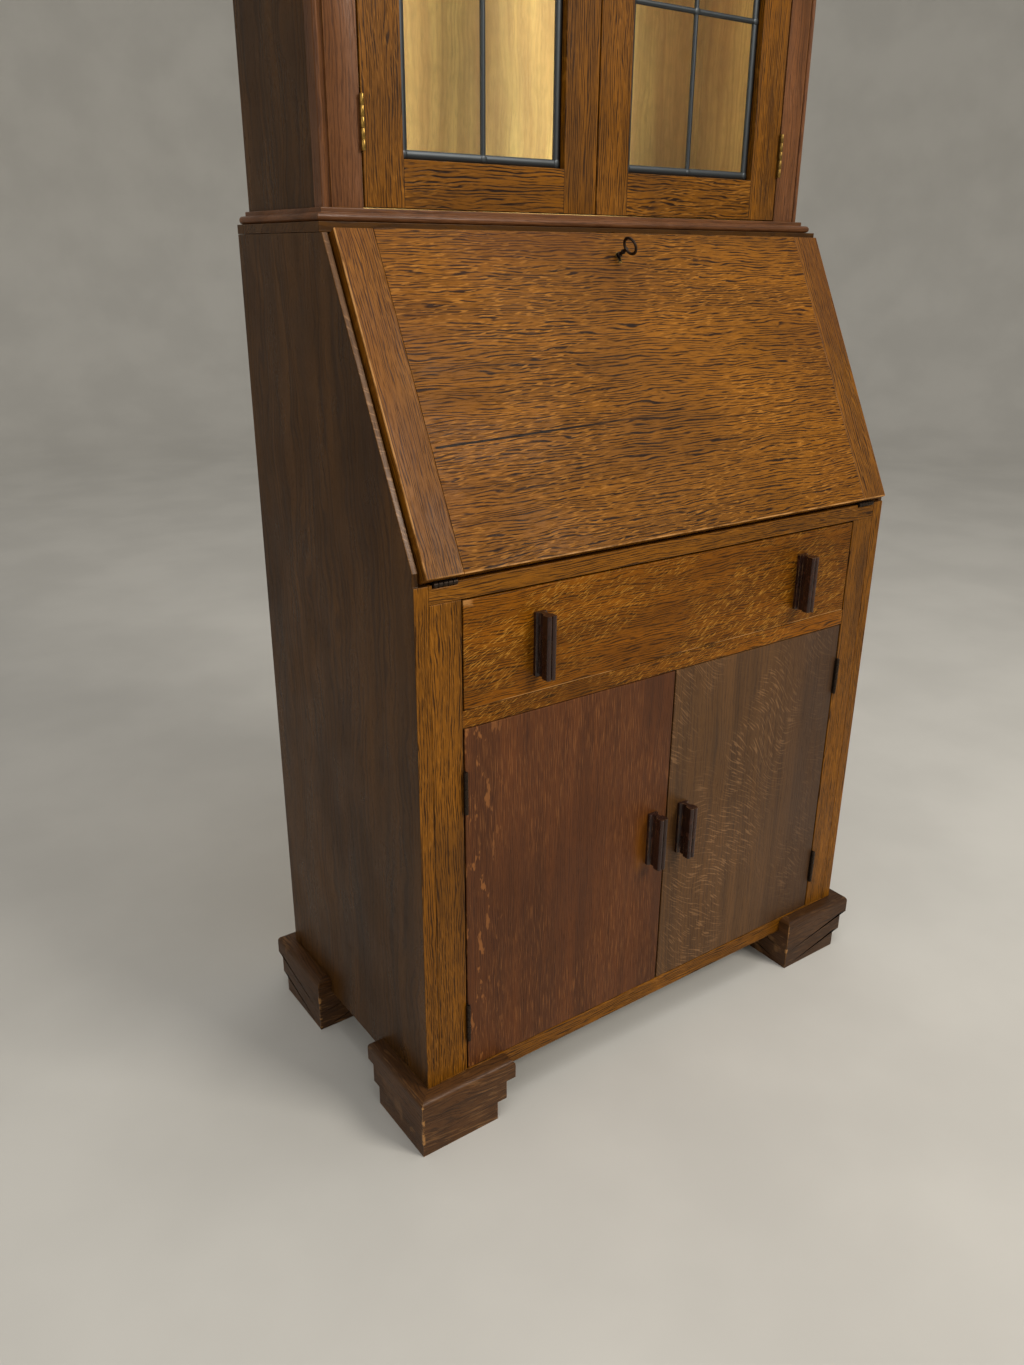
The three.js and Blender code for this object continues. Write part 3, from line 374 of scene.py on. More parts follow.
def worn_edges():
    """Where a piece's outer edges are rubbed."""
    if "Worn Edges" in bpy.data.node_groups:
        return bpy.data.node_groups["Worn Edges"]
    defaults = {"Radius": 0.0015, "Breakup": 60.0, "Amount": 0.6}
    tree, given, result = node_group("Worn Edges", defaults, ["Mask"])
    rounded = add_node(tree, "ShaderNodeBevel", {"Radius": given["Radius"]}, samples=4).outputs["Normal"]
    flat = add_node(tree, "ShaderNodeNewGeometry").outputs["True Normal"]
    lean = minus(tree, 1.0, vectors(tree, "DOT_PRODUCT", rounded, flat))
    edge = ranged(tree, lean, 0.015, 0.16)
    inputs = {0: given["Vector"], "Scale": given["Breakup"]}
    scaled = add_node(tree, "ShaderNodeVectorMath", inputs, operation="SCALE").outputs[0]
    inputs = {"Vector": scaled, "Scale": 1.0, "Detail": 3.0}
    broken = add_node(tree, "ShaderNodeTexNoise", inputs).outputs["Fac"]
    rubbed = times(tree, edge, ranged(tree, broken, 0.38, 0.66))
    tree.links.new(maths(tree, "MULTIPLY", rubbed, given["Amount"], clamp=True), result["Mask"])
    return tree


def surface_film():
    """Uneven film on a metal: spots, long smears and the fine relief under them."""
    if "Surface Film" in bpy.data.node_groups:
        return bpy.data.node_groups["Surface Film"]
    tree, given, result = node_group("Surface Film", {"Spot Size": 0.004, "Cover": 0.5}, ["Film", "Relief"])
    inverse = maths(tree, "DIVIDE", 1.0, given["Spot Size"])
    scale = add_node(tree, "ShaderNodeCombineXYZ", {"X": inverse, "Y": inverse, "Z": inverse}).outputs[0]
    spots = noise(tree, given["Vector"], scale, 4, 0.6)
    smears = noise(tree, given["Vector"], (40, 40, 8), 2)
    film = maths(tree, "MULTIPLY", plus(tree, spots, smears), given["Cover"], clamp=True)
    tree.links.new(ranged(tree, film, 0.25, 0.75), result["Film"])
    tree.links.new(spots, result["Relief"])
    return tree


# ---- materials ----


def use_group(tree, group, inputs):
    return add_node(tree, "ShaderNodeGroup", inputs, node_tree=group).outputs


def blank_material(name):
    """A new material, its empty node tree and the shaded point in metres."""
    made = bpy.data.materials.new(name)
    made.use_nodes = True
    tree = made.node_tree
    tree.nodes.clear()
    return made, tree, add_node(tree, "ShaderNodeTexCoord").outputs["Object"]


def bumped(tree, height, strength, distance):
    inputs = {"Strength": strength, "Distance": distance, "Height": height}
    return add_node(tree, "ShaderNodeBump", inputs).outputs["Normal"]


def principled(tree, inputs):
    return add_node(tree, "ShaderNodeBsdfPrincipled", inputs).outputs[0]


def to_output(tree, shader):
    tree.links.new(shader, add_node(tree, "ShaderNodeOutputMaterial").inputs[0])


def scaled_tint(colour, share):
    return [min(1, c * share) for c in colour]


RELIEF_STRENGTH = 2.5
PORE_DEPTH = 0.0004

# Grain, face and depth axes of a board's figure.
ALONG_X = (X, Z, Y)
ALONG_Z = (Z, X, Y)
ALONG_Z_ON_SIDE = (Z, Y, X)
ALONG_Y = (Y, X, Z)
FLAT_ALONG_X = (X, Y, Z)
ALONG_Y_ON_SIDE = (Y, Z, X)
ACROSS_TAILS = (X, Z, Y)
ACROSS_FALL = (X, UP_FALL, OFF_FALL)
UP_THE_FALL = (UP_FALL, X, OFF_FALL)

# Each timber: its colours, its figure and its polish.
TIMBERS = {
    "golden": dict(
        spacing=0.003, line=0.06, wave=0.0016, lines=0.85, pores=0.55, ray=0.014, ray_width=0.0016,
        turn=8, rays=0.35, rough=0.42, coat=0.02, gloss=0.14, wear=0.45, depth=0.12,
    ),
    "fall": dict(
        colours="golden", spacing=0.0035, line=0.055, wave=0.0018, lines=1.0, pores=0.6, ray=0.018,
        ray_width=0.0022, turn=-6, rays=0.65, rough=0.44, coat=0.0, gloss=0.12, wear=0.5, depth=0.14,
    ),
    "amber": dict(
        spacing=0.0033, line=0.05, wave=0.0025, lines=0.8, pores=0.6, ray=0.011, ray_width=0.0013,
        turn=-27, rays=0.8, rough=0.42, coat=0.02, gloss=0.12, wear=0.6, depth=0.12,
    ),
    "red_brown": dict(
        spacing=0.0026, line=0.11, wave=0.0012, lines=0.5, pores=0.4, ray=0.03, ray_width=0.0011,
        turn=1, rays=0.5, rough=0.42, coat=0.04, gloss=0.2, wear=0.25, depth=0.08,
    ),
    "umber": dict(
        spacing=0.006, line=0.2, wave=0.002, lines=0.35, pores=0.4, ray=0.024, ray_width=0.002,
        turn=58, fan=0.07, rays=0.6, rough=0.4, coat=0.04, gloss=0.22, wear=0.25, depth=0.08,
    ),
    "walnut": dict(
        spacing=0.011, line=0.4, wave=0.008, lines=0.5, pores=0.4, ray=0.02, ray_width=0.002,
        turn=5, rays=0.1, rough=0.3, coat=0.05, gloss=0.1, wear=0.15, depth=0.08,
    ),
    "mahogany": dict(
        spacing=0.004, line=0.09, wave=0.002, lines=0.45, pores=0.5, ray=0.02, ray_width=0.0016,
        turn=3, rays=0.3, rough=0.36, coat=0.06, gloss=0.2, wear=0.4, depth=0.12,
    ),
    "foot": dict(
        spacing=0.0045, line=0.05, wave=0.004, lines=0.6, pores=0.5, ray=0.03, ray_width=0.003,
        turn=6, rays=0.55, rough=0.45, coat=0.04, gloss=0.22, wear=0.7, depth=0.12,
    ),
    "pale": dict(
        spacing=0.008, line=0.25, wave=0.004, lines=0.35, pores=0.3, ray=0.01, ray_width=0.001,
        turn=0, rays=0.2, rough=0.5, coat=0.0, gloss=0.25, wear=0.0, depth=0.06,
    ),
    "ebony": dict(
        spacing=0.003, line=0.04, wave=0.001, lines=0.5, pores=0.4, ray=0.01, ray_width=0.0015,
        turn=0, rays=0.35, rough=0.26, coat=0.15, gloss=0.3, wear=0.6, depth=0.08,
    ),
}


def timber(name, kind, grain, marks=()):
    """A polished board's material. Marks are functions that change its colour by place: stains, wear, and
    painted shade and highlights.
    """
    look = TIMBERS[kind]
    colours = look.get("colours", kind)
    finishes = palette()
    body, line, fleck = (getattr(finishes, colours + part) for part in ("", "_line", "_fleck"))
    made, tree, place = blank_material(name)
    shift = random.Random(name)
    start = [shift.uniform(-3, 3) for _ in range(3)]
    axes = [vectors(tree, "DOT_PRODUCT", place, axis) for axis in grain]
    board = add_node(
        tree, "ShaderNodeCombineXYZ", {n: plus(tree, a, s) for n, a, s in zip("XYZ", axes, start)}
    ).outputs[0]
    figure = use_group(
        tree,
        oak_figure(),
        {
            "Vector": board,
            "Line Spacing": look["spacing"],
            "Line Length": look["line"],
            "Waviness": look["wave"],
            "Ray Length": look["ray"],
            "Ray Width": look["ray_width"],
            "Ray Turn": math.radians(look["turn"]),
            "Ray Fan": look.get("fan", 0.01),
        },
    )
    tone = ranged(tree, figure["Bands"], 0.3, 0.7)
    colour = mixed(tree, tone, scaled_tint(body, 0.8), scaled_tint(body, 1.25))
    colour = mixed(tree, times(tree, figure["Lines"], look["lines"]), colour, line)
    colour = mixed(tree, times(tree, figure["Rays"], look["rays"]), colour, fleck)
    colour = mixed(tree, times(tree, figure["Pores"], look["pores"]), colour, scaled_tint(line, 0.6))
    blotch = ranged(tree, noise(tree, board, (3, 5, 5), 2), 0.3, 0.7, 0.82, 1.12)
    shade = add_node(tree, "ShaderNodeCombineXYZ", {"X": blotch, "Y": blotch, "Z": blotch}).outputs[0]
    colour = mixed(tree, 1.0, colour, shade, "MULTIPLY")
    for mark in marks:
        colour = mark(tree, place, colour)
    if look["wear"]:
        rubbed = use_group(tree, worn_edges(), {"Vector": place, "Amount": look["wear"]})["Mask"]
        colour = mixed(tree, rubbed, colour, finishes.wear)
    smear = noise(tree, board, (9, 16, 16), 3)
    rough = ranged(tree, smear, 0.3, 0.7, look["rough"] - 0.06, look["rough"] + 0.1)
    rough = plus(tree, rough, times(tree, figure["Pores"], 0.15))
    surface = {
        "Base Color": colour,
        "Roughness": rough,
        "Normal": bumped(tree, figure["Relief"], look["depth"] * RELIEF_STRENGTH, PORE_DEPTH),
        "Coat Weight": look["coat"],
        "Coat Roughness": 0.22,
        "Specular IOR Level": look["gloss"],
    }
    to_output(tree, principled(tree, surface))
    return made


# ---- marks on the timber ----


def along_axis(tree, place, axis):
    """How far a point lies along an axis, in metres."""
    return vectors(tree, "DOT_PRODUCT", place, axis)


def up_the_fall(tree, place):
    """How far a point lies above the fall's foot, along its slope."""
    return minus(tree, along_axis(tree, place, UP_FALL), FALL_SPAN[0])


# Ends of the fall's crack: across the fall and up from its foot.
CRACK_FROM, CRACK_TO = (-0.318, 0.1344), (0.101, 0.1494)


def shrinkage_crack(tree, place, colour):
    """A fine dark line a third of the way up the fall, fading to the right."""
    x = along_axis(tree, place, X)
    slope = (CRACK_TO[1] - CRACK_FROM[1]) / (CRACK_TO[0] - CRACK_FROM[0])
    level = plus(tree, times(tree, x, slope), CRACK_FROM[1] - slope * CRACK_FROM[0])
    height = up_the_fall(tree, place)
    stray = times(tree, minus(tree, noise(tree, place, (30, 30, 30), 2), 0.5), 0.0012)
    away = maths(tree, "ABSOLUTE", minus(tree, plus(tree, height, stray), level))
    width = bpy.context.scene.desk_sizes.crack_width
    line = ranged(tree, away, width / 2, width, 1.0, 0.0)
    faded = ranged(tree, x, CRACK_TO[0] - 0.25, CRACK_TO[0], 1.0, 0.0)
    started = ranged(tree, x, CRACK_FROM[0] - 0.004, CRACK_FROM[0])
    outside = ranged(tree, along_axis(tree, place, OFF_FALL), FALL_FACE[1] - 0.003, FALL_FACE[1] - 0.001)
    share = times(tree, line, faded, times(tree, started, outside))
    return mixed(tree, share, colour, palette().ebony_line)


def grimy_ends(tree, place, colour):
    """The fall darkens towards its corners and its ends."""
    x = maths(tree, "ABSOLUTE", along_axis(tree, place, X))
    height = up_the_fall(tree, place)
    top = ranged(tree, height, 0.25, FALL_SPAN[1] - FALL_SPAN[0])
    ends = ranged(tree, x, 0.2, 0.37)
    patchy = ranged(tree, noise(tree, place, (7, 7, 7), 3), 0.35, 0.65)
    share = times(tree, maths(tree, "MAXIMUM", top, ends), patchy)
    return mixed(tree, times(tree, share, 0.4), colour, palette().red_brown)


def rim_wear_and_highlight(tree, place, colour):
    """The fall's rim along its foot and its left end: worn pale, with a painted highlight on the arris."""
    height = up_the_fall(tree, place)
    left = plus(tree, along_axis(tree, place, X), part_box("fall_clamp_left")[0].x * -1)
    near = maths(tree, "MINIMUM", height, left)
    outside = ranged(tree, along_axis(tree, place, OFF_FALL), FALL_FACE[1] - 0.002, FALL_FACE[1] - 0.001)
    rim = times(tree, ranged(tree, near, 0.0008, 0.0022, 1.0, 0.0), outside)
    patchy = ranged(tree, noise(tree, place, (40, 40, 40), 3), 0.35, 0.6, 0.15, 1.0)
    # Painted highlight as well as wear: the rim goes paler than the rubbed oak itself.
    return mixed(tree, times(tree, rim, patchy, 0.75), colour, scaled_tint(palette().wear, 1.5))


def chipped_top_corner(tree, place, colour):
    """A light chip at the drawer front's upper left corner, and a rubbed line along its foot."""
    low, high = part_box("drawer_front")
    x, z = along_axis(tree, place, X), along_axis(tree, place, Z)
    front = ranged(tree, along_axis(tree, place, Y), low.y + 0.001, low.y + 0.002, 1.0, 0.0)
    ragged = times(tree, minus(tree, noise(tree, place, (110, 110, 170), 3), 0.5), 0.016)
    right = minus(tree, minus(tree, x, low.x), 0.001)
    under = times(tree, minus(tree, high.z - 0.001, z), 1.7)
    chip = ranged(tree, plus(tree, maths(tree, "MAXIMUM", right, under), ragged), 0.004, 0.014, 0.6, 0.0)
    foot = ranged(tree, minus(tree, z, low.z), 0.0006, 0.0018, 1.0, 0.0)
    worn = ranged(tree, noise(tree, place, (16, 16, 16), 2), 0.42, 0.6)
    line = times(tree, foot, worn)
    share = times(tree, maths(tree, "MAXIMUM", chip, line), front)
    return mixed(tree, share, colour, scaled_tint(palette().wear, 1.4))


def rubbed_by_handle(tree, place, colour):
    """Where fingers have worn the stain beside the left door's handle."""
    low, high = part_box("cupboard_handle_left")
    x, z = along_axis(tree, place, X), along_axis(tree, place, Z)
    beside = window(tree, x, low.x - 0.012, high.x, 0.014)
    level = window(tree, z, low.z + 0.004, high.z - 0.012, 0.018)
    patchy = ranged(tree, noise(tree, place, (60, 60, 40), 3), 0.3, 0.7, 0.4, 1.0)
    share = times(tree, beside, level, patchy)
    return mixed(tree, times(tree, share, 0.7), colour, palette().amber)


def scuffs(tree, place, colour):
    """Chipped spots along the left door's hinged edge."""
    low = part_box("cupboard_door_left")[0]
    x = along_axis(tree, place, X)
    near = ranged(tree, x, low.x + 0.015, low.x + 0.07, 1.0, 0.0)
    chips = ranged(tree, noise(tree, place, (95, 95, 30), 3, 0.6), 0.58, 0.635)
    share = times(tree, near, chips)
    return mixed(tree, times(tree, share, 0.85), colour, palette().red_brown_fleck)


def sooty_right(tree, place, colour):
    """The right door greys towards its hinged edge."""
    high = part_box("cupboard_door_right")[1]
    share = ranged(tree, along_axis(tree, place, X), high.x - 0.16, high.x - 0.03)
    return mixed(tree, times(tree, share, 0.55), colour, palette().umber_line)


def shadowed_behind(node):
    """Painted shade in the gap round a front, on whatever lies behind its face; its top faces get about a
    third as much.
    """
    low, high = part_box(node)
    front, top = low.y, high.z

    def mark(tree, place, colour):
        share = ranged(tree, along_axis(tree, place, Y), front + 0.0012, front + 0.003, 0.0, 0.9)
        below = ranged(tree, along_axis(tree, place, Z), top - 0.0012, top - 0.0004, 1.0, 0.35)
        share = times(tree, share, below)
        # Painted shade: the gap's faces are mixed towards near-black.
        return mixed(tree, share, colour, palette().ebony_line)

    return mark


def dark_quirk(tree, place, colour):
    """Patchy dark dirt over the whole board, in patches longer upright than across."""
    dirt = ranged(tree, noise(tree, place, (14, 14, 5), 3), 0.45, 0.7)
    return mixed(tree, times(tree, dirt, 0.35), colour, palette().walnut_line)


# ---- metals, glass, floor ----


def metal(name, colour, rough, cover, spot=0.004, wear=0.3):
    """Tarnished metal: bright where rubbed, dull and darker under its film."""
    made, tree, place = blank_material(name)
    film = use_group(tree, surface_film(), {"Vector": place, "Spot Size": spot, "Cover": cover})
    base = mixed(tree, times(tree, film["Film"], 0.8), colour, palette().tarnish)
    edge = use_group(tree, worn_edges(), {"Vector": place, "Radius": 0.0008, "Amount": wear})["Mask"]
    base = mixed(tree, edge, base, scaled_tint(colour, 1.8))
    roughness = ranged(tree, film["Film"], 0.0, 1.0, rough, rough + 0.25)
    normal = bumped(tree, film["Relief"], 0.25, 0.0003)
    surface = {"Base Color": base, "Roughness": roughness, "Normal": normal, "Metallic": 0.9}
    to_output(tree, principled(tree, surface))
    return made


def old_glass(name):
    """Slightly uneven clear glass that lets the lamps through."""
    made, tree, place = blank_material(name)
    ripple = noise(tree, place, (18, 18, 11), 2)
    dirt = noise(tree, place, (90, 90, 60), 3)
    surface = {
        "Base Color": mixed(tree, ranged(tree, dirt, 0.4, 0.8), (0.93, 0.96, 0.95), (0.86, 0.88, 0.86)),
        "Roughness": ranged(tree, dirt, 0.45, 0.75, 0.0, 0.08),
        "Transmission Weight": 1.0,
        "IOR": 1.45,
        "Normal": bumped(tree, ripple, 0.2, 0.004),
    }
    clear = add_node(tree, "ShaderNodeBsdfTransparent", {"Color": (0.93, 0.95, 0.94, 1)}).outputs[0]
    shadow = add_node(tree, "ShaderNodeLightPath").outputs["Is Shadow Ray"]
    both = add_node(tree, "ShaderNodeMixShader", {0: shadow, 1: principled(tree, surface), 2: clear})
    to_output(tree, both.outputs[0])
    return made


def pale_floor(name):
    """A matt pale floor, faintly clouded."""
    made, tree, place = blank_material(name)
    colour = palette().floor
    clouds = ranged(tree, noise(tree, place, (3, 3, 3), 4), 0.3, 0.7)
    base = mixed(tree, clouds, scaled_tint(colour, 0.95), scaled_tint(colour, 1.04))
    to_output(tree, principled(tree, {"Base Color": base, "Roughness": 0.75}))
    return made


def shared(name, build, *values, **named):
    """A material made the first time it is asked for."""
    return bpy.data.materials.get(name) or build(name, *values, **named)


def brass():
    return shared("aged brass", metal, palette().brass, 0.3, 0.45)


def dull_brass():
    return shared("dull brass", metal, palette().brass, 0.45, 0.75)


def steel():
    return shared("dark steel", metal, palette().steel, 0.35, 0.5)


def lead():
    return shared("oxidised lead", metal, palette().lead, 0.42, 0.28, spot=0.012, wear=0.6)


# ---- mesh helpers ----

# Rounding along the edges of the smallest metal pieces.
METAL_ARRIS = 0.0001

# Angles in degrees below which faces are shaded as one round surface.
ROUND_BOARD, ROUND_METAL, ROUND_HEAD = 30, 40, 50


def axes_at(origin, x_axis, y_axis, z_axis):
    """A matrix that stands a shape at origin on three unit axes."""
    columns = Matrix((x_axis, y_axis, z_axis)).transposed().to_4x4()
    return Matrix.Translation(origin) @ columns


def prism(bm, outline, low, high, place=None):
    """A closed prism on a plan outline, from low to high along the third axis."""
    place = place or Matrix.Identity(4)
    foot = [bm.verts.new(place @ Vector((x, y, low))) for x, y in outline]
    head = [bm.verts.new(place @ Vector((x, y, high))) for x, y in outline]
    bm.faces.new(foot[::-1])
    bm.faces.new(head)
    count = len(outline)
    for i in range(count):
        j = (i + 1) % count
        bm.faces.new((foot[i], foot[j], head[j], head[i]))


def ring(bm, outer, inner, low, high, place):
    """A closed ring between two outlines with the same number of points."""
    loops = [
        [bm.verts.new(place @ Vector((x, y, level))) for x, y in outline]
        for outline, level in ((outer, low), (outer, high), (inner, high), (inner, low))
    ]
    count = len(outer)
    for a, b in zip(loops, loops[1:] + loops[:1]):
        for i in range(count):
            j = (i + 1) % count
            bm.faces.new((a[i], a[j], b[j], b[i]))


def box(bm, low, high):
    outline = [(low[0], low[1]), (high[0], low[1]), (high[0], high[1]), (low[0], high[1])]
    prism(bm, outline, low[2], high[2])


def arc(radius, start, end, count, centre=(0.0, 0.0)):
    """Points on an arc, in degrees from the first axis."""
    steps = [math.radians(start + (end - start) * i / (count - 1)) for i in range(count)]
    return [(centre[0] + radius * math.cos(a), centre[1] + radius * math.sin(a)) for a in steps]


def circle(radius, count):
    return arc(radius, 0, 360 - 360 / count, count)


def turned(bm, profile, origin, axis, count=20):
    """A closed turned shape: profile is radius and height pairs from the axis out and back to it."""
    side = axis.orthogonal().normalized()
    place = axes_at(origin, side, axis.cross(side), axis)
    rings = []
    for radius, height in profile:
        if radius == 0:
            rings.append([bm.verts.new(place @ Vector((0, 0, height)))])
        else:
            rings.append([bm.verts.new(place @ Vector((x, y, height))) for x, y in circle(radius, count)])
    for a, b in zip(rings, rings[1:]):
        for i in range(count):
            j = (i + 1) % count
            corners = [a[i % len(a)], a[j % len(a)], b[j % len(b)], b[i % len(b)]]
            bm.faces.new(list(dict.fromkeys(corners)))


def screw(bm, point, direction, radius, turn=0.5):
    """A slotted countersunk head standing a little out of the surface."""
    side = direction.orthogonal().normalized()
    place = axes_at(point, side, direction.cross(side), direction) @ Matrix.Rotation(turn, 4, "Z")
    thick = radius * 0.22
    prism(bm, circle(radius, 18), -thick * 2, thick * 0.35, place)
    edge = math.degrees(math.asin(0.17))
    for start in (edge, 180 + edge):
        half = arc(radius * 0.93, start, start + 180 - 2 * edge, 9)
        prism(bm, half, thick * 0.35, thick, place)


def dome(bm, point, direction, radius, height):
    """A low round head, such as a rivet's or a pin's."""
    profile = [(0, -height), (radius, -height), (radius, 0)]
    profile += [(radius * math.cos(a), height * math.sin(a)) for a in (0.5, 0.95, 1.3)]
    turned(bm, profile + [(0, height)], point, direction, 14)


def soften(piece, width, segments=2):
    """Rounds a piece's edges without touching its mesh."""
    if "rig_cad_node" in piece:
        weld = piece.modifiers.new("weld", "WELD")
        weld.merge_threshold = 1e-6
        flatten = piece.modifiers.new("flatten", "DECIMATE")
        flatten.decimate_type = "DISSOLVE"
        flatten.angle_limit = math.radians(1)
    bevel = piece.modifiers.new("arris", "BEVEL")
    bevel.width = width
    bevel.segments = segments
    bevel.limit_method = "ANGLE"
    bevel.angle_limit = math.radians(40)
    bevel.use_clamp_overlap = True
    bevel.harden_normals = False


def place_piece(name, bm, body, materials, slot=None, replaces=(), arris=0.0, round_below=0.0):
    """Turns a finished bmesh into a named piece that rides on a body."""
    bmesh.ops.recalc_face_normals(bm, faces=bm.faces)
    mesh = bpy.data.meshes.new(name)
    bm.to_mesh(mesh)
    bm.free()
    for material in materials:
        mesh.materials.append(material)
    if round_below:
        mesh.polygons.foreach_set("use_smooth", [True] * len(mesh.polygons))
        mesh.set_sharp_from_angle(angle=math.radians(round_below))
    piece = bpy.data.objects.new(name, mesh)
    bpy.context.scene.collection.objects.link(piece)
    if arris:
        soften(piece, arris)
    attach(piece, body)
    if replaces:
        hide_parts(*replaces)


def body_of(node):
    return frame["nodes"][node]["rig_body"]


def inner_face(node, sign):
    """Where the face of a left or right part that looks to the desk's middle lies across the desk."""
    low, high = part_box(node)
    return low.x if sign > 0 else high.x


def recut(node, name, materials, choose, planes=(), arris=0.0, round_below=0.0, slot=None):
    """A piece with a node's own shape, cut along planes and given a material on each face."""
    bm = bmesh.new()
    bm.from_mesh(frame["nodes"][node].data)
    bmesh.ops.remove_doubles(bm, verts=bm.verts, dist=1e-6)
    bmesh.ops.dissolve_limit(bm, angle_limit=math.radians(0.5), verts=bm.verts, edges=bm.edges)
    for point, normal in planes:
        geometry = bm.verts[:] + bm.edges[:] + bm.faces[:]
        bmesh.ops.bisect_plane(bm, geom=geometry, plane_co=point, plane_no=normal)
    for face in bm.faces:
        face.material_index = choose(face.calc_center_median(), face.normal)
    place_piece(name, bm, body_of(node), materials, slot, (node,), arris, round_below)


def dress(node, material, arris=0.0, segments=2):
    """Gives a frame node its material and eases its edges."""
    piece = frame["nodes"][node]
    piece.data.materials.clear()
    piece.data.materials.append(material)
    if arris:
        soften(piece, arris, segments)


def dress_handle(node, name, sizes):
    dress(node, timber(name, "ebony", ALONG_Z), sizes.handle_arris, 3)


def back_pins(board, name, inset, sizes):
    """Panel pins round the edge of a back board, on its rear face."""
    low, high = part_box(board)
    x0, x1 = low.x + inset, high.x - inset
    z0, z1 = low.z + inset, high.z - inset
    across = max(2, round((x1 - x0) / sizes.nail_pitch))
    up = max(2, round((z1 - z0) / sizes.nail_pitch))
    spots = [(x0 + (x1 - x0) * i / across, z) for i in range(across + 1) for z in (z0, z1)]
    spots += [(x, z0 + (z1 - z0) * i / up) for i in range(1, up) for x in (x0, x1)]
    bm = bmesh.new()
    for x, z in spots:
        dome(bm, Vector((x, high.y, z)), Y, sizes.nail_radius, 0.0004)
    place_piece(name, bm, "carcass", [steel()], "steel", round_below=ROUND_METAL)


# ---- operators ----


class DESK_OT_carcass(bpy.types.Operator):
    """Finish the bureau's sides, stiles, rails, boards and back"""

    bl_idname = "desk.carcass"
    bl_label = "Bureau Carcass"
    bl_options = {"REGISTER", "UNDO"}

    def execute(self, context):
        sizes = context.scene.desk_sizes
        for side, sign in SIDES.items():
            self.side_board(side, sign, sizes)
            node = f"stile_{side}"
            stile = timber(f"stile {side}", "golden", ALONG_Z, [dark_quirk, shadowed_behind(node)])
            dress(node, stile, sizes.arris)
        rails = {"top_rail": "golden", "drawer_frame": "amber", "bottom_board": "golden"}
        for node, kind in rails.items():
            dress(node, timber(node, kind, ALONG_X, [shadowed_behind(node)]), sizes.arris)
        dress("writing_bed", timber("writing bed", "golden", FLAT_ALONG_X), sizes.fine_arris)
        dress("bureau_top", timber("bureau top", "walnut", FLAT_ALONG_X), sizes.fine_arris)
        shelf = timber("cupboard shelf", "pale", FLAT_ALONG_X)
        dress("cupboard_shelf", shelf, sizes.arris)
        dress("bureau_back", timber("bureau back", "pale", ALONG_Z, [dark_quirk]))
        back_pins("bureau_back", "bureau_back_pins", 0.009, sizes)
        self.shelf_battens(sizes)
        return {"FINISHED"}

    def side_board(self, side, sign, sizes):
        """Dark outer face, golden front edge, greyed lip beside the fall and a brown lining."""
        node = f"side_{side}"
        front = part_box(node)[0].y

        def choose(centre, normal):
            if normal.dot(OFF_FALL) > 0.95:
                return 2
            if normal.y < -0.9 and centre.y < front + 0.0005:
                return 1
            return 3 if normal.x * sign < -0.9 else 0

        materials = [
            timber(f"side face {side}", "walnut", ALONG_Z_ON_SIDE, [dark_quirk]),
            timber(f"side edge {side}", "golden", ALONG_Z),
            timber(f"side lip {side}", "umber", UP_THE_FALL),
            timber(f"side lining {side}", "red_brown", ALONG_Z_ON_SIDE),
        ]
        recut(node, f"bureau_side_{side}", materials, choose, arris=sizes.arris, slot="dark_oak")

    def shelf_battens(self, sizes):
        """Battens under both ends of the cupboard's shelf, short of its front and back."""
        low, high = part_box("cupboard_shelf")
        gap, short_of_front, short_of_back = 0.0003, 0.012, 0.002
        top = low.z - gap
        bm = bmesh.new()
        for sign in SIDES.values():
            x0, x1 = sorted((sign * (high.x - sizes.batten), sign * (high.x - gap)))
            box(bm, (x0, low.y + short_of_front, top - sizes.batten), (x1, high.y - short_of_back, top))
        material = timber("shelf battens", "pale", ALONG_Y)
        place_piece("cupboard_shelf_battens", bm, "carcass", [material], "plain_wood", arris=sizes.arris)


class DESK_OT_feet(bpy.types.Operator):
    """Finish the four stepped bracket feet, with their mitres and glued tiers"""

    bl_idname = "desk.feet"
    bl_label = "Feet"
    bl_options = {"REGISTER", "UNDO"}

    def execute(self, context):
        sizes = context.scene.desk_sizes
        for node in ("foot_front_left", "foot_front_right", "foot_back_left", "foot_back_right"):
            self.foot(node, sizes)
        return {"FINISHED"}

    def foot(self, node, sizes):
        """Two arms that meet in a mitre at the outer corner, each with its own grain."""
        low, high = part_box(node)
        tier = (high.z - low.z) / 3

        def choose(centre, normal):
            return 0 if centre.x - low.x > centre.y - low.y else 1

        def tier_lines(tree, place, colour):
            z = minus(tree, along_axis(tree, place, Z), low.z)
            near = [maths(tree, "ABSOLUTE", minus(tree, z, tier * level)) for level in (1, 2)]
            line = ranged(tree, maths(tree, "MINIMUM", *near), 0.0002, 0.0008, 0.75, 0.0)
            broken = ranged(tree, noise(tree, place, (45, 45, 45), 2), 0.35, 0.6, 0.3, 1.0)
            return mixed(tree, times(tree, line, broken), colour, palette().ebony_line)

        def chipped_corner(tree, place, colour):
            x = minus(tree, along_axis(tree, place, X), low.x)
            y = minus(tree, along_axis(tree, place, Y), low.y)
            corner = ranged(tree, plus(tree, x, y), 0.0015, 0.004, 1.0, 0.0)
            chips = ranged(tree, noise(tree, place, (60, 60, 130), 2), 0.52, 0.6)
            return mixed(tree, times(tree, corner, chips), colour, palette().wear)

        marks = [tier_lines, chipped_corner, dark_quirk]
        materials = [
            timber(f"{node} front arm", "foot", ALONG_X, marks),
            timber(f"{node} side arm", "foot", ALONG_Y, marks),
        ]
        planes = [(Vector((low.x, low.y, 0)), (1, -1, 0))]
        planes += [(Vector((0, 0, low.z + tier * level)), Z) for level in (1, 2)]
        name = node.replace("foot", "bracket_foot")
        recut(node, name, materials, choose, planes, sizes.arris, ROUND_BOARD, "brown_oak")


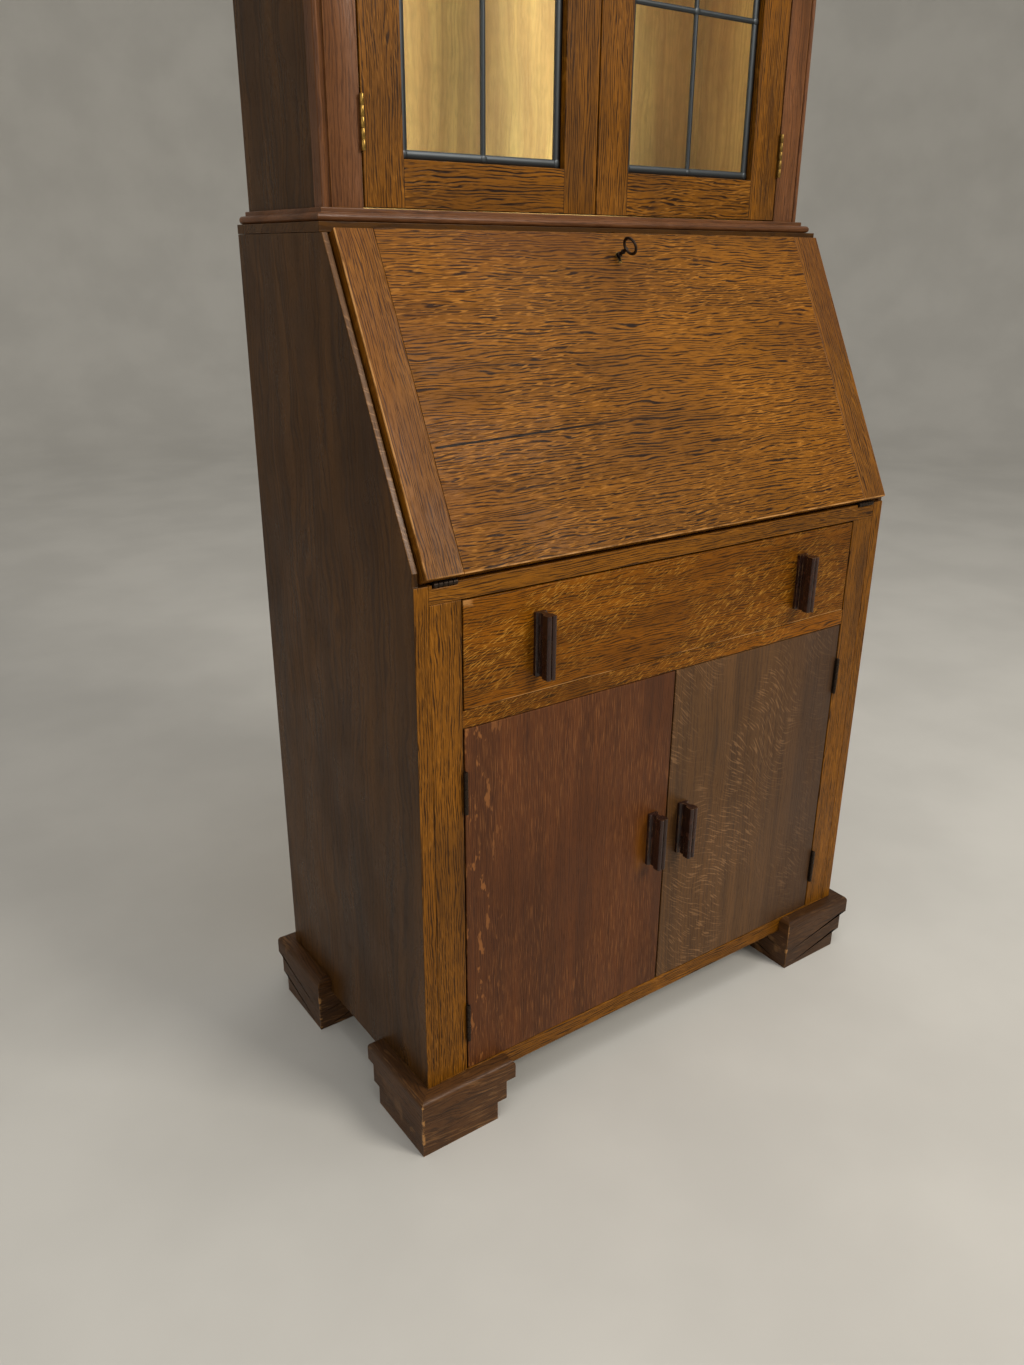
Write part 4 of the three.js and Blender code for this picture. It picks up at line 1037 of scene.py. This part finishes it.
class DESK_OT_fall(bpy.types.Operator):
    """Finish the fall, its clamps, lock, key and hinges"""

    bl_idname = "desk.fall"
    bl_label = "Fall"
    bl_options = {"REGISTER", "UNDO"}

    def execute(self, context):
        sizes = context.scene.desk_sizes
        panel = timber("fall panel", "fall", ACROSS_FALL, [grimy_ends, shrinkage_crack, rim_wear_and_highlight])
        dress("fall_panel", panel, sizes.arris)
        for side in SIDES:
            clamp = timber(f"fall clamp {side}", "golden", UP_THE_FALL, [grimy_ends, rim_wear_and_highlight])
            dress(f"fall_clamp_{side}", clamp, sizes.arris)
        dress("fall_lock", brass(), sizes.fine_arris)
        dress("lock_bolt", steel(), sizes.fine_arris)
        dress("key", steel())
        self.escutcheon(sizes)
        self.key_collars()
        self.lock_screws(sizes)
        for side in SIDES:
            self.hinge(side, sizes)
        return {"FINISHED"}

    def escutcheon(self, sizes):
        """A brass thread let into the face round the keyhole, and a dark sheet in the hole as its painted
        shadow.
        """

        def keyhole(radius):
            half, drop = radius * 0.62, radius * 2.1
            skirt = [(-half, -drop), (half, -drop)]
            return arc(radius, -52, 232, 17) + skirt

        height = KEYHOLE.dot(UP_FALL) - FALL_SPAN[0]
        place = axes_at(on_fall(0, height), X, UP_FALL, OFF_FALL)
        bm = bmesh.new()
        ring(bm, keyhole(sizes.escutcheon), keyhole(sizes.escutcheon * 0.74), -0.001, 0.0005, place)
        place_piece("keyhole_escutcheon", bm, "fall", [dull_brass()], "brass", arris=0.00015)
        bm = bmesh.new()
        # A dark sheet flush with the face: painted shadow standing in for the keyhole's depth.
        prism(bm, keyhole(sizes.escutcheon * 0.72), -0.001, 0.00005, place)
        dark = shared("keyhole shadow", metal, palette().tarnish, 0.8, 0.9)
        place_piece("keyhole_lining", bm, "fall", [dark], "steel")

    def key_collars(self):
        """Two turned collars on the key's shank, by how far they stand off the fall and their radius."""
        half, rim = 0.001, 0.0004
        bm = bmesh.new()
        base = KEYHOLE + OFF_FALL * (FALL_FACE[1] - KEYHOLE.dot(OFF_FALL))
        for offset, radius in ((0.0034, 0.0034), (0.0098, 0.0031)):
            profile = [(0, -half), (radius * 0.8, -half), (radius, -rim), (radius, rim)]
            profile += [(radius * 0.8, half), (0, half)]
            turned(bm, profile, base + OFF_FALL * offset, OFF_FALL, 16)
        place_piece("key_collars", bm, "key", [steel()], "steel", round_below=ROUND_HEAD)

    def lock_screws(self, sizes):
        """A screw in each corner of the lock's cap."""
        low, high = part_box("fall_lock")
        face = reach("fall_lock", OFF_FALL)[0]
        span = reach("fall_lock", UP_FALL)
        in_from_end, in_from_edge = 0.006, 0.007
        bm = bmesh.new()
        for x in (low.x + in_from_end, high.x - in_from_end):
            for height in (span[0] + in_from_edge, span[1] - in_from_edge):
                screw(bm, X * x + UP_FALL * height + OFF_FALL * face, -OFF_FALL, sizes.screw_radius, x * 40)
        place_piece("lock_screws", bm, "fall", [brass()], "brass")

    def hinge(self, side, sizes):
        """Knuckles in turn on the rail and on the fall, with the moving leaf under the fall's foot."""
        node = f"fall_hinge_{side}"
        low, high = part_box(node)
        pivot = Vector(joint("fall_hinge")["pos_m"])
        fixed, moving = bmesh.new(), bmesh.new()
        knuckles(fixed, moving, pivot, X, low.x, high.x, pivot.y - low.y)
        leaf_top, leaf = pivot.z - 0.0003, 0.0015
        box(fixed, (low.x, pivot.y, leaf_top - leaf), (high.x, high.y, leaf_top))
        for share in (0.2, 0.5, 0.8):
            x = low.x + (high.x - low.x) * share
            y = pivot.y + (high.y - pivot.y) * (0.7 if share != 0.5 else 0.45)
            screw(fixed, Vector((x, y, leaf_top)), Z, sizes.screw_radius, share * 7)
        place = axes_at(UP_FALL * (FALL_SPAN[0] - 0.00005) + X * low.x, X, OFF_FALL, UP_FALL)
        margin, moving_leaf = 0.001, 0.0006
        inner, outer = FALL_FACE[0] + margin, pivot.dot(OFF_FALL) - margin
        wide = high.x - low.x
        prism(moving, [(0, inner), (wide, inner), (wide, outer), (0, outer)], -moving_leaf, 0.0, place)
        fixed_name, moving_name = f"fall_hinge_fixed_{side}", f"fall_hinge_moving_{side}"
        finish = METAL_ARRIS, ROUND_METAL
        place_piece(fixed_name, fixed, "carcass", [steel()], "steel", (node,), *finish)
        place_piece(moving_name, moving, "fall", [steel()], "steel", (), *finish)


def knuckles(fixed, moving, point, axis, start, end, radius):
    """Five knuckles on one pin, in turn on the fixed and the moving leaf."""
    count = 5
    step = (end - start) / count
    gap, rim = 0.00025, 0.0004
    half = step / 2 - gap
    chamfer = radius * 0.88
    profile = [(0, -half), (chamfer, -half), (radius, -half + rim), (radius, half - rim)]
    profile += [(chamfer, half), (0, half)]
    foot = point - axis * point.dot(axis)
    for index in range(count):
        middle = foot + axis * (start + step * (index + 0.5))
        turned(moving if index % 2 else fixed, profile, middle, axis, 20)
    pin = radius * 0.45
    turned(fixed, [(0, 0), (pin, 0), (pin, end - start), (0, end - start)], foot + axis * start, axis, 12)


class DESK_OT_stays(bpy.types.Operator):
    """Finish the folding stays and add their plates, ears and rivets"""

    bl_idname = "desk.stays"
    bl_label = "Folding Stays"
    bl_options = {"REGISTER", "UNDO"}

    def execute(self, context):
        sizes = context.scene.desk_sizes
        for side, sign in SIDES.items():
            arm, link = f"stay_arm_{side}", f"stay_link_{side}"
            for node in (arm, link):
                dress(node, brass(), sizes.fine_arris)
            post = Vector(joint(f"{arm}_pivot")["pos_m"])
            eye = Vector(joint(f"{link}_pivot")["pos_m"])
            self.post_plate(side, sign, post)
            self.fall_ear(side, sign, eye, link)
            self.rivet(f"stay_post_rivet_{side}", arm, sign, post, 0.0007)
            self.rivet(f"stay_elbow_rivet_{side}", link, sign, self.elbow(link, eye), 0.0014)
        return {"FINISHED"}

    def rivet(self, name, bar, sign, centre, height):
        """A rivet's head on the inner face of a bar."""
        face = inner_face(bar, sign)
        bm = bmesh.new()
        dome(bm, Vector((face, centre.y, centre.z)), X * -sign, 0.0042, height)
        place_piece(name, bm, bar, [brass()], "brass", round_below=ROUND_HEAD)

    def elbow(self, link, eye):
        """The link's far pivot: as far in from its far end as the eye is from its near end."""
        points = [v.co for v in frame["nodes"][link].data.vertices]
        far = max(points, key=lambda p: (p - eye).yz.length)
        direction = Vector((0, far.y - eye.y, far.z - eye.z)).normalized()
        near = min(direction.dot(p - eye) for p in points)
        reach_out = max(direction.dot(p - eye) for p in points)
        return eye + direction * (reach_out + near)

    def post_plate(self, side, sign, post):
        """A plate screwed to the bureau's side under the arm."""
        wall = inner_face(f"side_{side}", sign)
        face = wall - sign * 0.0006
        radius, half_length = 0.011, 0.014
        outline = arc(radius, 0, 180, 9, (0, half_length)) + arc(radius, 180, 360, 9, (0, -half_length))
        bm = bmesh.new()
        prism(bm, outline, *sorted((wall, face)), axes_at(Vector((0, post.y, post.z)), Y, Z, X))
        for drop in (-half_length, half_length):
            screw(bm, Vector((face, post.y, post.z + drop)), X * -sign, 0.002, drop * 50)
        place_piece(f"stay_plate_{side}", bm, "carcass", [brass()], "brass", arris=METAL_ARRIS)

    def fall_ear(self, side, sign, eye, link):
        """An ear on a small plate on the fall's inner face, that the link turns on."""
        face = inner_face(link, sign)
        across = UP_FALL.cross(OFF_FALL)
        depth = FALL_FACE[0] - eye.dot(OFF_FALL)
        place = axes_at(Vector((0, eye.y, eye.z)), UP_FALL, OFF_FALL, across)
        near, far, plate_end = (across.x * (face - sign * inset) for inset in (0.0004, 0.0018, 0.016))
        radius, flare, half_plate, plate = 0.006, 0.012, 0.016, 0.0014
        ear = [(-flare, depth), (-radius, 0.0)] + arc(radius, 180, 360, 9) + [(radius, 0.0), (flare, depth)]
        bm = bmesh.new()
        prism(bm, list(dict.fromkeys(ear)), *sorted((near, far)), place)
        foot = [(-half_plate, depth - plate), (half_plate, depth - plate), (half_plate, depth)]
        prism(bm, foot + [(-half_plate, depth)], *sorted((far, plate_end)), place)
        dome(bm, Vector((face - sign * 0.0018, eye.y, eye.z)), X * -sign, 0.0036, 0.001)
        place_piece(f"stay_ear_{side}", bm, "fall", [brass()], "brass", (), METAL_ARRIS, ROUND_HEAD)


class DESK_OT_pigeonholes(bpy.types.Operator):
    """Finish the pigeonholes behind the fall"""

    bl_idname = "desk.pigeonholes"
    bl_label = "Pigeonholes"
    bl_options = {"REGISTER", "UNDO"}

    def execute(self, context):
        sizes = context.scene.desk_sizes
        material = timber("pigeonholes", "pale", FLAT_ALONG_X)
        dress("pigeonholes", material, sizes.fine_arris)
        return {"FINISHED"}


class DESK_OT_drawer(bpy.types.Operator):
    """Finish the drawer, its dovetails and its two handles"""

    bl_idname = "desk.drawer"
    bl_label = "Drawer"
    bl_options = {"REGISTER", "UNDO"}

    def execute(self, context):
        sizes = context.scene.desk_sizes
        marks = [chipped_top_corner, shadowed_behind("drawer_front")]
        front = timber("drawer front", "amber", ALONG_X, marks)
        dress("drawer_front", front, sizes.arris)
        for side, sign in SIDES.items():
            board = timber(f"drawer side {side}", "pale", ALONG_Y_ON_SIDE)
            dress(f"drawer_side_{side}", board, sizes.fine_arris)
            dress_handle(f"drawer_handle_{side}", f"drawer handle {side}", sizes)
            self.dovetails(side, sign)
        dress("drawer_back", timber("drawer back", "pale", ALONG_X), sizes.fine_arris)
        dress("drawer_bottom", timber("drawer bottom", "pale", FLAT_ALONG_X))
        return {"FINISHED"}

    def dovetails(self, side, sign):
        """Tails at both ends of a drawer side, seen as slightly darker wedges on its face."""
        low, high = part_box(f"drawer_side_{side}")
        sunk, thick = 0.0003, 0.0005
        face = (high.x if sign > 0 else low.x) - sign * sunk
        tails, depth, slant = 4, 0.013, 0.003
        pitch = (high.z - low.z) / tails
        wide, narrow = pitch * 0.34, pitch * 0.34 - slant
        place = axes_at(Vector((face, 0, 0)), Y, Z, X)
        bm = bmesh.new()
        for end, inward in ((low.y, 1), (high.y, -1)):
            for index in range(tails):
                middle = low.z + pitch * (index + 0.5)
                outline = [
                    (end, middle - wide),
                    (end + inward * depth, middle - narrow),
                    (end + inward * depth, middle + narrow),
                    (end, middle + wide),
                ]
                prism(bm, outline, *sorted((0, sign * thick)), place)
        material = timber(f"dovetails {side}", "amber", ACROSS_TAILS)
        place_piece(f"drawer_dovetails_{side}", bm, "drawer", [material], "oak")


class DESK_OT_cupboard(bpy.types.Operator):
    """Finish the cupboard's doors, handles and butt hinges"""

    bl_idname = "desk.cupboard"
    bl_label = "Cupboard Doors"
    bl_options = {"REGISTER", "UNDO"}

    def execute(self, context):
        sizes = context.scene.desk_sizes
        kinds = {
            "left": ("red_brown", [scuffs, rubbed_by_handle]),
            "right": ("umber", [sooty_right]),
        }
        for side, sign in SIDES.items():
            kind, marks = kinds[side]
            door = f"cupboard_door_{side}"
            front = timber(f"cupboard door {side}", kind, ALONG_Z, [*marks, shadowed_behind(door)])
            dress(door, front, sizes.arris)
            dress_handle(f"cupboard_handle_{side}", f"cupboard handle {side}", sizes)
            for level in ("lower", "upper"):
                butt_hinge(f"cupboard_hinge_{side}_{level}", sign, door, steel(), "steel", sizes)
        return {"FINISHED"}


def butt_hinge(node, sign, door, material, slot, sizes):
    """Two leaves and their knuckles: the fixed ones stand for the frame's node, the others ride along."""
    low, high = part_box(node)
    hinge = next(j for j in frame["joints"] if j["child"] == body_of(door))
    axis = Vector(hinge["pos_m"])
    radius = (axis.y - low.y) * sizes.knuckle_share
    fixed, moving = bmesh.new(), bmesh.new()
    knuckles(fixed, moving, axis, Z, low.z, high.z, radius)
    thick, gap = sizes.hinge_leaf, 0.0001
    for leaf, offset in ((fixed, gap), (moving, -gap - thick)):
        x0, x1 = sorted((axis.x + sign * offset, axis.x + sign * (offset + thick)))
        box(leaf, (x0, axis.y, low.z), (x1, high.y, high.z))
    head = sizes.screw_radius * 0.8
    y = (axis.y + high.y) / 2 + 0.002
    for share in (0.14, 0.5, 0.86):
        z = low.z + (high.z - low.z) * share
        screw(fixed, Vector((axis.x + sign * gap, y, z)), X * -sign, head, share * 9)
        screw(moving, Vector((axis.x - sign * gap, y, z)), X * sign, head, share * 5)
    fixed_name = node.replace("hinge", "hinge_fixed")
    moving_name = node.replace("hinge", "hinge_moving")
    place_piece(fixed_name, fixed, "carcass", [material], slot, (node,), METAL_ARRIS, ROUND_METAL)
    place_piece(moving_name, moving, body_of(door), [material], slot, (), METAL_ARRIS, ROUND_METAL)


class DESK_OT_bookcase(bpy.types.Operator):
    """Finish the bookcase's frame, boards, mouldings, shelf and back"""

    bl_idname = "desk.bookcase"
    bl_label = "Bookcase"
    bl_options = {"REGISTER", "UNDO"}

    def execute(self, context):
        sizes = context.scene.desk_sizes
        base = timber("bookcase base", "mahogany", ALONG_X, [dark_quirk])
        dress("bookcase_base", base, sizes.fine_arris)
        top = timber("bookcase top", "walnut", FLAT_ALONG_X)
        dress("bookcase_top", top, sizes.arris)
        self.face_frame(sizes)
        for side, sign in SIDES.items():
            self.side_board(side, sign, sizes)
        dress("bookcase_back", timber("bookcase back", "pale", ALONG_Z))
        shelf = timber("bookcase shelf", "pale", FLAT_ALONG_X)
        dress("bookcase_shelf", shelf, sizes.arris)
        self.shelf_pins()
        back_pins("bookcase_back", "bookcase_back_pins", 0.007, sizes)
        return {"FINISHED"}

    def face_frame(self, sizes):
        """Upright grain in the stiles, and level grain in the head between them."""
        hinge_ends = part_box("glass_hinge_left_lower")[0].x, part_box("glass_hinge_right_lower")[1].x
        door_gap = 0.0012
        inner_x = round(max(abs(end) for end in hinge_ends), 4) - door_gap

        def choose(centre, normal):
            return 0 if abs(centre.x) > inner_x else 1

        materials = [
            timber("bookcase stiles", "mahogany", ALONG_Z, [dark_quirk]),
            timber("bookcase head", "mahogany", ALONG_X, [dark_quirk]),
        ]
        planes = [(Vector((sign * inner_x, 0, 0)), X) for sign in SIDES.values()]
        node, name = "bookcase_face_frame", "bookcase_frame"
        recut(node, name, materials, choose, planes, sizes.fine_arris, ROUND_BOARD, "brown_oak")

    def side_board(self, side, sign, sizes):
        """A dark outer face and a pale lining."""

        def choose(centre, normal):
            return 1 if normal.x * sign < -0.9 else 0

        materials = [
            timber(f"bookcase side face {side}", "walnut", ALONG_Z_ON_SIDE, [dark_quirk]),
            timber(f"bookcase side lining {side}", "pale", ALONG_Z_ON_SIDE),
        ]
        node = f"bookcase_side_{side}"
        recut(node, f"bookcase_cheek_{side}", materials, choose, (), sizes.fine_arris, slot="dark_oak")

    def shelf_pins(self):
        """Turned pins in the bookcase's sides, that its shelf lies on."""
        low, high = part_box("bookcase_shelf")
        in_from_edge, below_shelf = 0.025, 0.0052
        collar, shank, collar_length, shank_length = 0.0045, 0.0026, 0.0014, 0.011
        profile = [(0, 0), (collar, 0), (collar, collar_length), (shank, collar_length)]
        profile += [(shank, shank_length), (0, shank_length + 0.001)]
        bm = bmesh.new()
        for sign in SIDES.values():
            for y in (low.y + in_from_edge, high.y - in_from_edge):
                turned(bm, profile, Vector((sign * high.x, y, low.z - below_shelf)), X * -sign, 16)
        place_piece("bookcase_shelf_pins", bm, "carcass", [brass()], "brass", round_below=ROUND_METAL)


class DESK_OT_glazed_doors(bpy.types.Operator):
    """Finish the glazed doors: stiles and rails, leaded lights, beads, hinges and handles"""

    bl_idname = "desk.glazed_doors"
    bl_label = "Glazed Doors"
    bl_options = {"REGISTER", "UNDO"}

    # How far a light's edge lies behind the door's front lip.
    LIGHT_LAP = 0.0042

    def execute(self, context):
        sizes = context.scene.desk_sizes
        for side, sign in SIDES.items():
            self.joinery(side, sizes)
            self.cames(side, sizes)
            self.panes(side, sizes)
            self.beads(side, sizes)
            dress_handle(f"glass_door_handle_{side}", f"glass door handle {side}", sizes)
            for level in ("lower", "upper"):
                node = f"glass_hinge_{side}_{level}"
                butt_hinge(node, sign, f"glass_door_frame_{side}", brass(), "brass", sizes)
        return {"FINISHED"}

    def sight(self, side):
        """Edges of the glass that show inside the door's lip: left, right, foot and head."""
        low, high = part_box(f"leaded_light_{side}")
        lap = self.LIGHT_LAP
        return low.x + lap, high.x - lap, low.z + lap, high.z - lap

    def joinery(self, side, sizes):
        """Stiles that run through and rails between them, with a dark line at each joint."""
        x0, x1, z0, z1 = self.sight(side)

        def choose(centre, normal):
            return 1 if x0 < centre.x < x1 and not z0 < centre.z < z1 else 0

        def joint_lines(tree, place, colour):
            x = along_axis(tree, place, X)
            z = along_axis(tree, place, Z)
            near = [maths(tree, "ABSOLUTE", minus(tree, x, edge)) for edge in (x0, x1)]
            line = ranged(tree, maths(tree, "MINIMUM", *near), 0.0002, 0.0007, 0.8, 0.0)
            beyond = minus(tree, 1.0, window(tree, z, z0, z1, 0.0002))
            dark = palette().ebony_line
            return mixed(tree, times(tree, line, beyond), colour, dark)

        materials = [
            timber(f"glazed door stiles {side}", "golden", ALONG_Z, [dark_quirk, joint_lines]),
            timber(f"glazed door rails {side}", "fall", ALONG_X, [dark_quirk, joint_lines]),
        ]
        planes = [(Vector((x, 0, 0)), X) for x in (x0, x1)]
        node = f"glass_door_frame_{side}"
        recut(node, f"glazed_door_joinery_{side}", materials, choose, planes, sizes.fine_arris, slot="oak")

    def grid(self, side, sizes):
        """Middles of the upright and level cames, in from the door's edge by half a border came."""
        x0, x1, z0, z1 = self.sight(side)
        clear = 0.0008
        edge = sizes.border_came_width / 2 + clear

        def spread(start, end, count):
            return [start + edge + (end - start - 2 * edge) * i / count for i in range(count + 1)]

        return spread(x0, x1, sizes.pane_columns), spread(z0, z1, sizes.pane_rows)

    def cames(self, side, sizes):
        """Round-faced lead strips with solder at each joint."""
        columns, rows = self.grid(side, sizes)
        low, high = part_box(f"leaded_light_{side}")
        middle = (low.y + high.y) / 2
        half_thick = sizes.glass_thickness / 2 + sizes.came_proud
        bm = bmesh.new()

        def came(width, start, end, x_axis, z_axis):
            half, flank, edge, crown = width / 2, width * 0.34, half_thick * 0.55, half_thick * 0.9
            face = [(-half, 0.0), (-half, -edge), (-flank, -crown), (0.0, -half_thick)]
            face += [(flank, -crown), (half, -edge)]
            back = [(-x, -y) for x, y in face]
            prism(bm, face + back, 0.0, (end - start).length, axes_at(start, x_axis, Y, z_axis))

        def width_of(index, last):
            return sizes.border_came_width if index in (0, last) else sizes.came_width

        for index, x in enumerate(columns):
            width = width_of(index, len(columns) - 1)
            came(width, Vector((x, middle, rows[0])), Vector((x, middle, rows[-1])), X, Z)
        for index, z in enumerate(rows):
            width = width_of(index, len(rows) - 1)
            for a, b in zip(columns, columns[1:]):
                came(width, Vector((a, middle, z)), Vector((b, middle, z)), -Z, X)
        hand = random.Random(f"solder {side}")
        for x in columns:
            for z in rows:
                for face in (-1, 1):
                    radius = sizes.solder_radius * hand.uniform(0.8, 1.1)
                    centre = Vector((x, middle + face * (half_thick - 0.0004), z))
                    squash = Matrix.Diagonal((radius, 0.0009, radius * hand.uniform(0.8, 1.1), 1))
                    place = Matrix.Translation(centre) @ squash
                    bmesh.ops.create_uvsphere(bm, u_segments=12, v_segments=7, radius=1, matrix=place)
        node = f"leaded_light_{side}"
        place_piece(f"lead_cames_{side}", bm, body_of(node), [lead()], None, (node,), 0.0, ROUND_HEAD)

    def panes(self, side, sizes):
        """Separate panes, each leaning a little in its lead."""
        columns, rows = self.grid(side, sizes)
        low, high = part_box(f"leaded_light_{side}")
        middle = (low.y + high.y) / 2
        hand = random.Random(f"panes {side}")
        gap, half_thick = 0.0012, sizes.glass_thickness / 2
        bm = bmesh.new()
        for a, b in zip(columns, columns[1:]):
            for c, d in zip(rows, rows[1:]):
                centre = Vector(((a + b) / 2, middle, (c + d) / 2))
                lean = Matrix.Rotation(math.radians(hand.uniform(-0.25, 0.25)), 4, "X")
                lean = lean @ Matrix.Rotation(math.radians(hand.uniform(-0.35, 0.35)), 4, "Z")
                half_x, half_z = (b - a) / 2 - gap, (d - c) / 2 - gap
                outline = [(-half_x, -half_z), (half_x, -half_z), (half_x, half_z), (-half_x, half_z)]
                place = Matrix.Translation(centre) @ lean @ axes_at(Vector(), X, Z, -Y)
                prism(bm, outline, -half_thick, half_thick, place)
        body = body_of(f"leaded_light_{side}")
        material = shared("old glass", old_glass)
        place_piece(f"glass_panes_{side}", bm, body, [material], "leaded_glass")

    def beads(self, side, sizes):
        """Thin wooden beads that hold the light in from behind."""
        x0, x1, z0, z1 = self.sight(side)
        light_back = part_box(f"leaded_light_{side}")[1].y
        door_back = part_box(f"glass_door_frame_{side}")[1].y
        lap, inset, joint_gap = 0.0044, 0.002, 0.0001
        y0, y1 = light_back + 0.0003, door_back - 0.0005
        bm = bmesh.new()
        box(bm, (x0 - lap, y0, z0 - lap), (x0 + inset, y1, z1 + lap))
        box(bm, (x1 - inset, y0, z0 - lap), (x1 + lap, y1, z1 + lap))
        for low, high in ((z0 - lap, z0 + inset), (z1 - inset, z1 + lap)):
            box(bm, (x0 + inset + joint_gap, y0, low), (x1 - inset - joint_gap, y1, high))
        body = body_of(f"leaded_light_{side}")
        material = timber(f"glazing beads {side}", "mahogany", ALONG_Z)
        place_piece(f"glazing_beads_{side}", bm, body, [material], "brown_oak", arris=sizes.fine_arris)


class DESK_OT_stage(bpy.types.Operator):
    """Set up the pale floor, the soft lights and the camera"""

    bl_idname = "desk.stage"
    bl_label = "Stage"
    bl_options = {"REGISTER", "UNDO"}

    def execute(self, context):
        stage = context.scene.desk_stage
        self.sweep(stage)
        self.lights(context.scene, stage)
        self.camera(context.scene, stage)
        return {"FINISHED"}

    def sweep(self, stage):
        """A level floor that bends up into a wall far behind, all in one turned sheet."""
        bend = arc(stage.sweep_bend, -90, 0, 9, (stage.sweep_radius, stage.sweep_bend))
        profile = [(0.001, 0.0), (stage.sweep_radius / 2, 0.0), *bend]
        profile.append((stage.sweep_radius + stage.sweep_bend, stage.sweep_height))
        bm = bmesh.new()
        count = 64
        loops = []
        for radius, height in profile:
            loops.append([bm.verts.new((x, y, height)) for x, y in circle(radius, count)])
        for a, b in zip(loops, loops[1:]):
            for i in range(count):
                j = (i + 1) % count
                bm.faces.new((a[i], a[j], b[j], b[i]))
        bm.faces.new(loops[0])
        mesh = bpy.data.meshes.new("studio_sweep")
        bm.to_mesh(mesh)
        bm.free()
        mesh.polygons.foreach_set("use_smooth", [True] * len(mesh.polygons))
        mesh.materials.append(pale_floor("pale floor"))
        floor = bpy.data.objects.new("studio_sweep", mesh)
        bpy.context.scene.collection.objects.link(floor)

    def lights(self, scene, stage):
        """A warm main lamp, a weaker one opposite, one overhead and an even light all round."""
        target = Vector((0, 0, 0.9))
        # Each lamp: place, size, power and colour.
        lamps = {
            "key_light": (Vector((1.3, -3.0, 2.9)), 1.3, stage.key_power, (1.0, 0.94, 0.85)),
            "fill_light": (Vector((-2.6, -1.6, 1.7)), 2.2, stage.fill_power, (1.0, 0.97, 0.93)),
            "top_light": (Vector((0.2, -0.4, 3.6)), 2.0, stage.top_power, (1.0, 0.98, 0.95)),
        }
        for name, (place, size, power, colour) in lamps.items():
            lamp = bpy.data.lights.new(name, "AREA")
            lamp.size = size
            lamp.energy = power
            lamp.color = colour
            lamp_object = bpy.data.objects.new(name, lamp)
            lamp_object.location = place
            lamp_object.rotation_euler = (target - place).to_track_quat("-Z", "Y").to_euler()
            scene.collection.objects.link(lamp_object)
        world = bpy.data.worlds.new("even light")
        world.use_nodes = True
        background = world.node_tree.nodes["Background"]
        background.inputs["Color"].default_value = (1.0, 0.975, 0.94, 1)
        background.inputs["Strength"].default_value = stage.sky
        scene.world = world
        scene.view_settings.view_transform = "Standard"

    def camera(self, scene, stage):
        """A camera at eye height, looking down at the desk's left front corner."""
        lens = bpy.data.cameras.new("camera")
        lens.lens = stage.lens
        lens.sensor_width = 36
        camera = bpy.data.objects.new("camera", lens)
        turn = Matrix.Rotation(-stage.heading, 4, "Z")
        tilt = Matrix.Rotation(math.radians(90) - stage.pitch, 4, "X")
        lean = Matrix.Rotation(stage.roll, 4, "Z")
        camera.matrix_world = Matrix.Translation(Vector(stage.eye)) @ turn @ tilt @ lean
        scene.collection.objects.link(camera)
        scene.camera = camera


class DESK_PT_panel(bpy.types.Panel):
    """The desk's groups, in the order in which they are made"""

    bl_idname = "DESK_PT_panel"
    bl_label = "Secretary Desk"
    bl_space_type = "VIEW_3D"
    bl_region_type = "UI"
    bl_category = "Desk"

    def draw(self, context):
        column = self.layout.column(align=True)
        for operator in OPERATORS:
            column.operator(operator.bl_idname)
        for group in (context.scene.desk_sizes, context.scene.desk_finishes, context.scene.desk_stage):
            box_layout = self.layout.box()
            for name in group.__annotations__:
                box_layout.prop(group, name)


OPERATORS = (
    DESK_OT_stage,
    DESK_OT_carcass,
    DESK_OT_feet,
    DESK_OT_fall,
    DESK_OT_stays,
    DESK_OT_pigeonholes,
    DESK_OT_drawer,
    DESK_OT_cupboard,
    DESK_OT_bookcase,
    DESK_OT_glazed_doors,
)
GROUPS = {"desk_sizes": DeskSizes, "desk_finishes": DeskFinishes, "desk_stage": DeskStage}


def register():
    for group in (*GROUPS.values(), *OPERATORS, DESK_PT_panel):
        bpy.utils.register_class(group)
    for name, group in GROUPS.items():
        setattr(bpy.types.Scene, name, PointerProperty(type=group))


def unregister():
    for name in GROUPS:
        delattr(bpy.types.Scene, name)
    for group in reversed((*GROUPS.values(), *OPERATORS, DESK_PT_panel)):
        bpy.utils.unregister_class(group)


def main():
    register()
    bpy.ops.desk.stage()
    bpy.ops.desk.carcass()
    bpy.ops.desk.feet()
    bpy.ops.desk.fall()
    bpy.ops.desk.stays()
    bpy.ops.desk.pigeonholes()
    bpy.ops.desk.drawer()
    bpy.ops.desk.cupboard()
    bpy.ops.desk.bookcase()
    bpy.ops.desk.glazed_doors()


if __name__ == "__main__":
    main()
